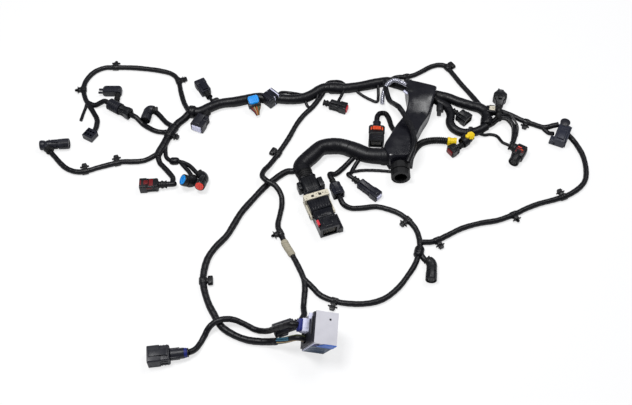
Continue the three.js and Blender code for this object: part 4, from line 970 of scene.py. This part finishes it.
# Cable duct. A deep tray of satin black polypropylene with a crowned top, round edges and 3 mm walls, clipped
# over the bundle. Each pair of rim points is a station: the wall rises, rounds over and crosses the crown to
# the far side.
def sheet(name, outer, thick, look, stands_for):
    """A shell with thickness: the outer grid, the same grid moved in along its normals, and a rim all
    round."""
    along_rows, along_columns = np.gradient(outer, axis=0), np.gradient(outer, axis=1)
    normal = np.cross(along_rows, along_columns)
    normal /= np.maximum(np.linalg.norm(normal, axis=2, keepdims=True), 1e-9)
    inner = outer - thick * normal
    n, m, _ = outer.shape
    spots = np.arange(n * m).reshape(n, m)
    quads = np.stack([spots[:-1, :-1], spots[1:, :-1], spots[1:, 1:], spots[:-1, 1:]], -1).reshape(-1, 4)
    back = quads[:, ::-1] + n * m
    rim = np.concatenate([spots[0], spots[1:, -1], spots[-1, -2::-1], spots[-2:0:-1, 0]])
    after = np.roll(rim, -1)
    edge = np.stack([rim, after, after + n * m, rim + n * m], -1)
    mesh = bpy.data.meshes.new(name)
    mesh.from_pydata((np.vstack([outer.reshape(-1, 3), inner.reshape(-1, 3)]) / 1000).tolist(), [],
                     quads.tolist() + back.tolist() + edge.tolist())
    mesh.materials.append(look)
    mesh.polygons.foreach_set("use_smooth", np.ones(len(mesh.polygons), bool))
    mesh.set_sharp_from_angle(angle=math.radians(40))
    declare(shown(name, mesh), stands_for)


satin = moulded("satin_polypropylene", "#101016", 0.26, grain=3.0, tone=0.15, **{"Specular IOR Level": 0.5})
rims = [((186, 266), (248, 246), 35.5), ((187, 236), (244, 228), 36.6), ((188, 206), (240, 214), 36.9),
        ((180, 176), (228, 176), 28.5), ((161, 144), (215, 152), 31.0), ((147, 114), (204, 128), 36.8),
        ((136, 91), (197, 108), 36.9), ((140, 75), (193, 84), 36.5), ((146, 60), (190, 62), 35.0)]
ends = np.array([[(*a, h), (*b, h)] for a, b, h in rims], float)
lefts, _ = smooth_way(ends[:, 0], 4.0)
rights, _ = smooth_way(ends[:, 1], 4.0)
stations = np.linspace(0, 1, 56)
lefts, rights = (
    np.stack([np.interp(stations, np.linspace(0, 1, len(side)), side[:, k]) for k in range(3)], 1)
    for side in (lefts, rights))
across = np.concatenate(
    [[0, 0, 0, 0.015, 0.05, 0.1], np.linspace(0.18, 0.82, 9), [0.9, 0.95, 0.985, 1, 1, 1]])
rise = np.concatenate([[0.01, 0.45, 0.82, 0.93, 0.965, 0.98],
    0.99 + 0.01 * np.sin(np.pi * np.linspace(0.1, 0.9, 9)), [0.98, 0.965, 0.93, 0.82, 0.45, 0.01]])
grid = lefts[:, None] * (1 - across[None, :, None]) + rights[:, None] * across[None, :, None]
grid[..., 2] *= rise
for row, share in ((0, 0.02), (1, 0.9), (-1, 0.02), (-2, 0.9)):
    grid[row, :, 2] *= share
sheet("moulding_duct", grid, 3.0, satin, "duct")
mould("duct_latch", [
    (black, [soft_bar(-9, 9, 8, 20, 1.5, 0.6), soft_bar(-6, 6, 12, 8, 1.5, 0.6, z=4),
        soft_bar(-3, 3, 5, 6, 1, 0.4, y=-6, z=-3)])], "duct", spot(250, 197, 14, 85))
mould("sleeve_clamps", [
    (pale, [placed(soft_bar(-2.5, 2.5, 13, 2.4, 0.8, 0.4), spot(x, y, 31, 60, 0, 15))
        for x, y in ((186, 226), (197, 232))]),
    (black, [placed(soft_bar(-4, 4, 15, 12, 1.5, 0.6), spot(192, 229, 31, 60))])], None)


# Bracket plug, yellow-capped plug and the small blocks beside it. The bracket is a ribbed dark blue-grey
# moulding with a thin round flap; the yellow collar and disc lock the round plug.
slate_black = moulded("blue_grey_polyester", "#272a36", 0.4)
bracket_place = spot(469, 112, 10, 65)
flap = placed(turned([(-1.5, 8.5), (-1, 9.5), (1, 9.5), (1.5, 8.5)], 32), spot(52, 2, 9, 0, 90))
mould("moulding_bracket", [
    (slate_black, [soft_bar(3, 47, 22, 18, 2, 0.8), soft_bar(8, 30, 14, 3, 1, 0.5, z=10),
        soft_bar(3, 17, 12, 10, 1.5, 0.6, y=12, z=-4), soft_bar(6, 44, 3, 20, 1, 0.5, y=-12, z=1)]
        + [soft_bar(v - 0.7, v + 0.7, 23, 18.8, 2, 0.3) for v in np.linspace(7, 43, 8)]),
    (grey, [flap, soft_bar(44, 55, 12, 4, 1, 0.5, y=2, z=7)])], "bracket_right", bracket_place)
toward_viewer = spot(303, 125, 22, -90, 55)
mould("yellow_disc", [
    (yellow, [
        turned([(-5, 5), (-4, 7), (0, 7.6), (1.2, 7.2), (1.8, 5.5)], 32),
        turned([(1.6, 3.6), (2.4, 3.2)], 24)]),
    (black, [placed(soft_bar(-4, 1, 8, 12, 2, 0.8), spot(0, 0, 11))])], None, toward_viewer)
mould("junction_block", [
    (black, [soft_bar(-9, 9, 16, 12, 2, 0.8), soft_bar(-5, 5, 18, 14, 2, 0.6)]),
    (cream, [soft_bar(-5, 6, 11, 1.2, 0.6, 0.3, z=7.2)])], None, spot(351, 193, 16, -10))


# The six-way block keeps its CAD shape, with its open terminal holes, and so do the module's housing, the
# grommet, the collar, the slider, the lever and the cover, in the plastics of the rest.
for name, look in (
        ("plug_six_way", blue_black), ("main_housing", gloss), ("module_housing", blue_black),
        ("grommet", rubber), ("main_slider", red), ("collar_yellow", yellow), ("main_lever", cream),
        ("module_cover", zinc)):
    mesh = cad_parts[name].data
    mesh.materials.clear()
    mesh.materials.append(look)
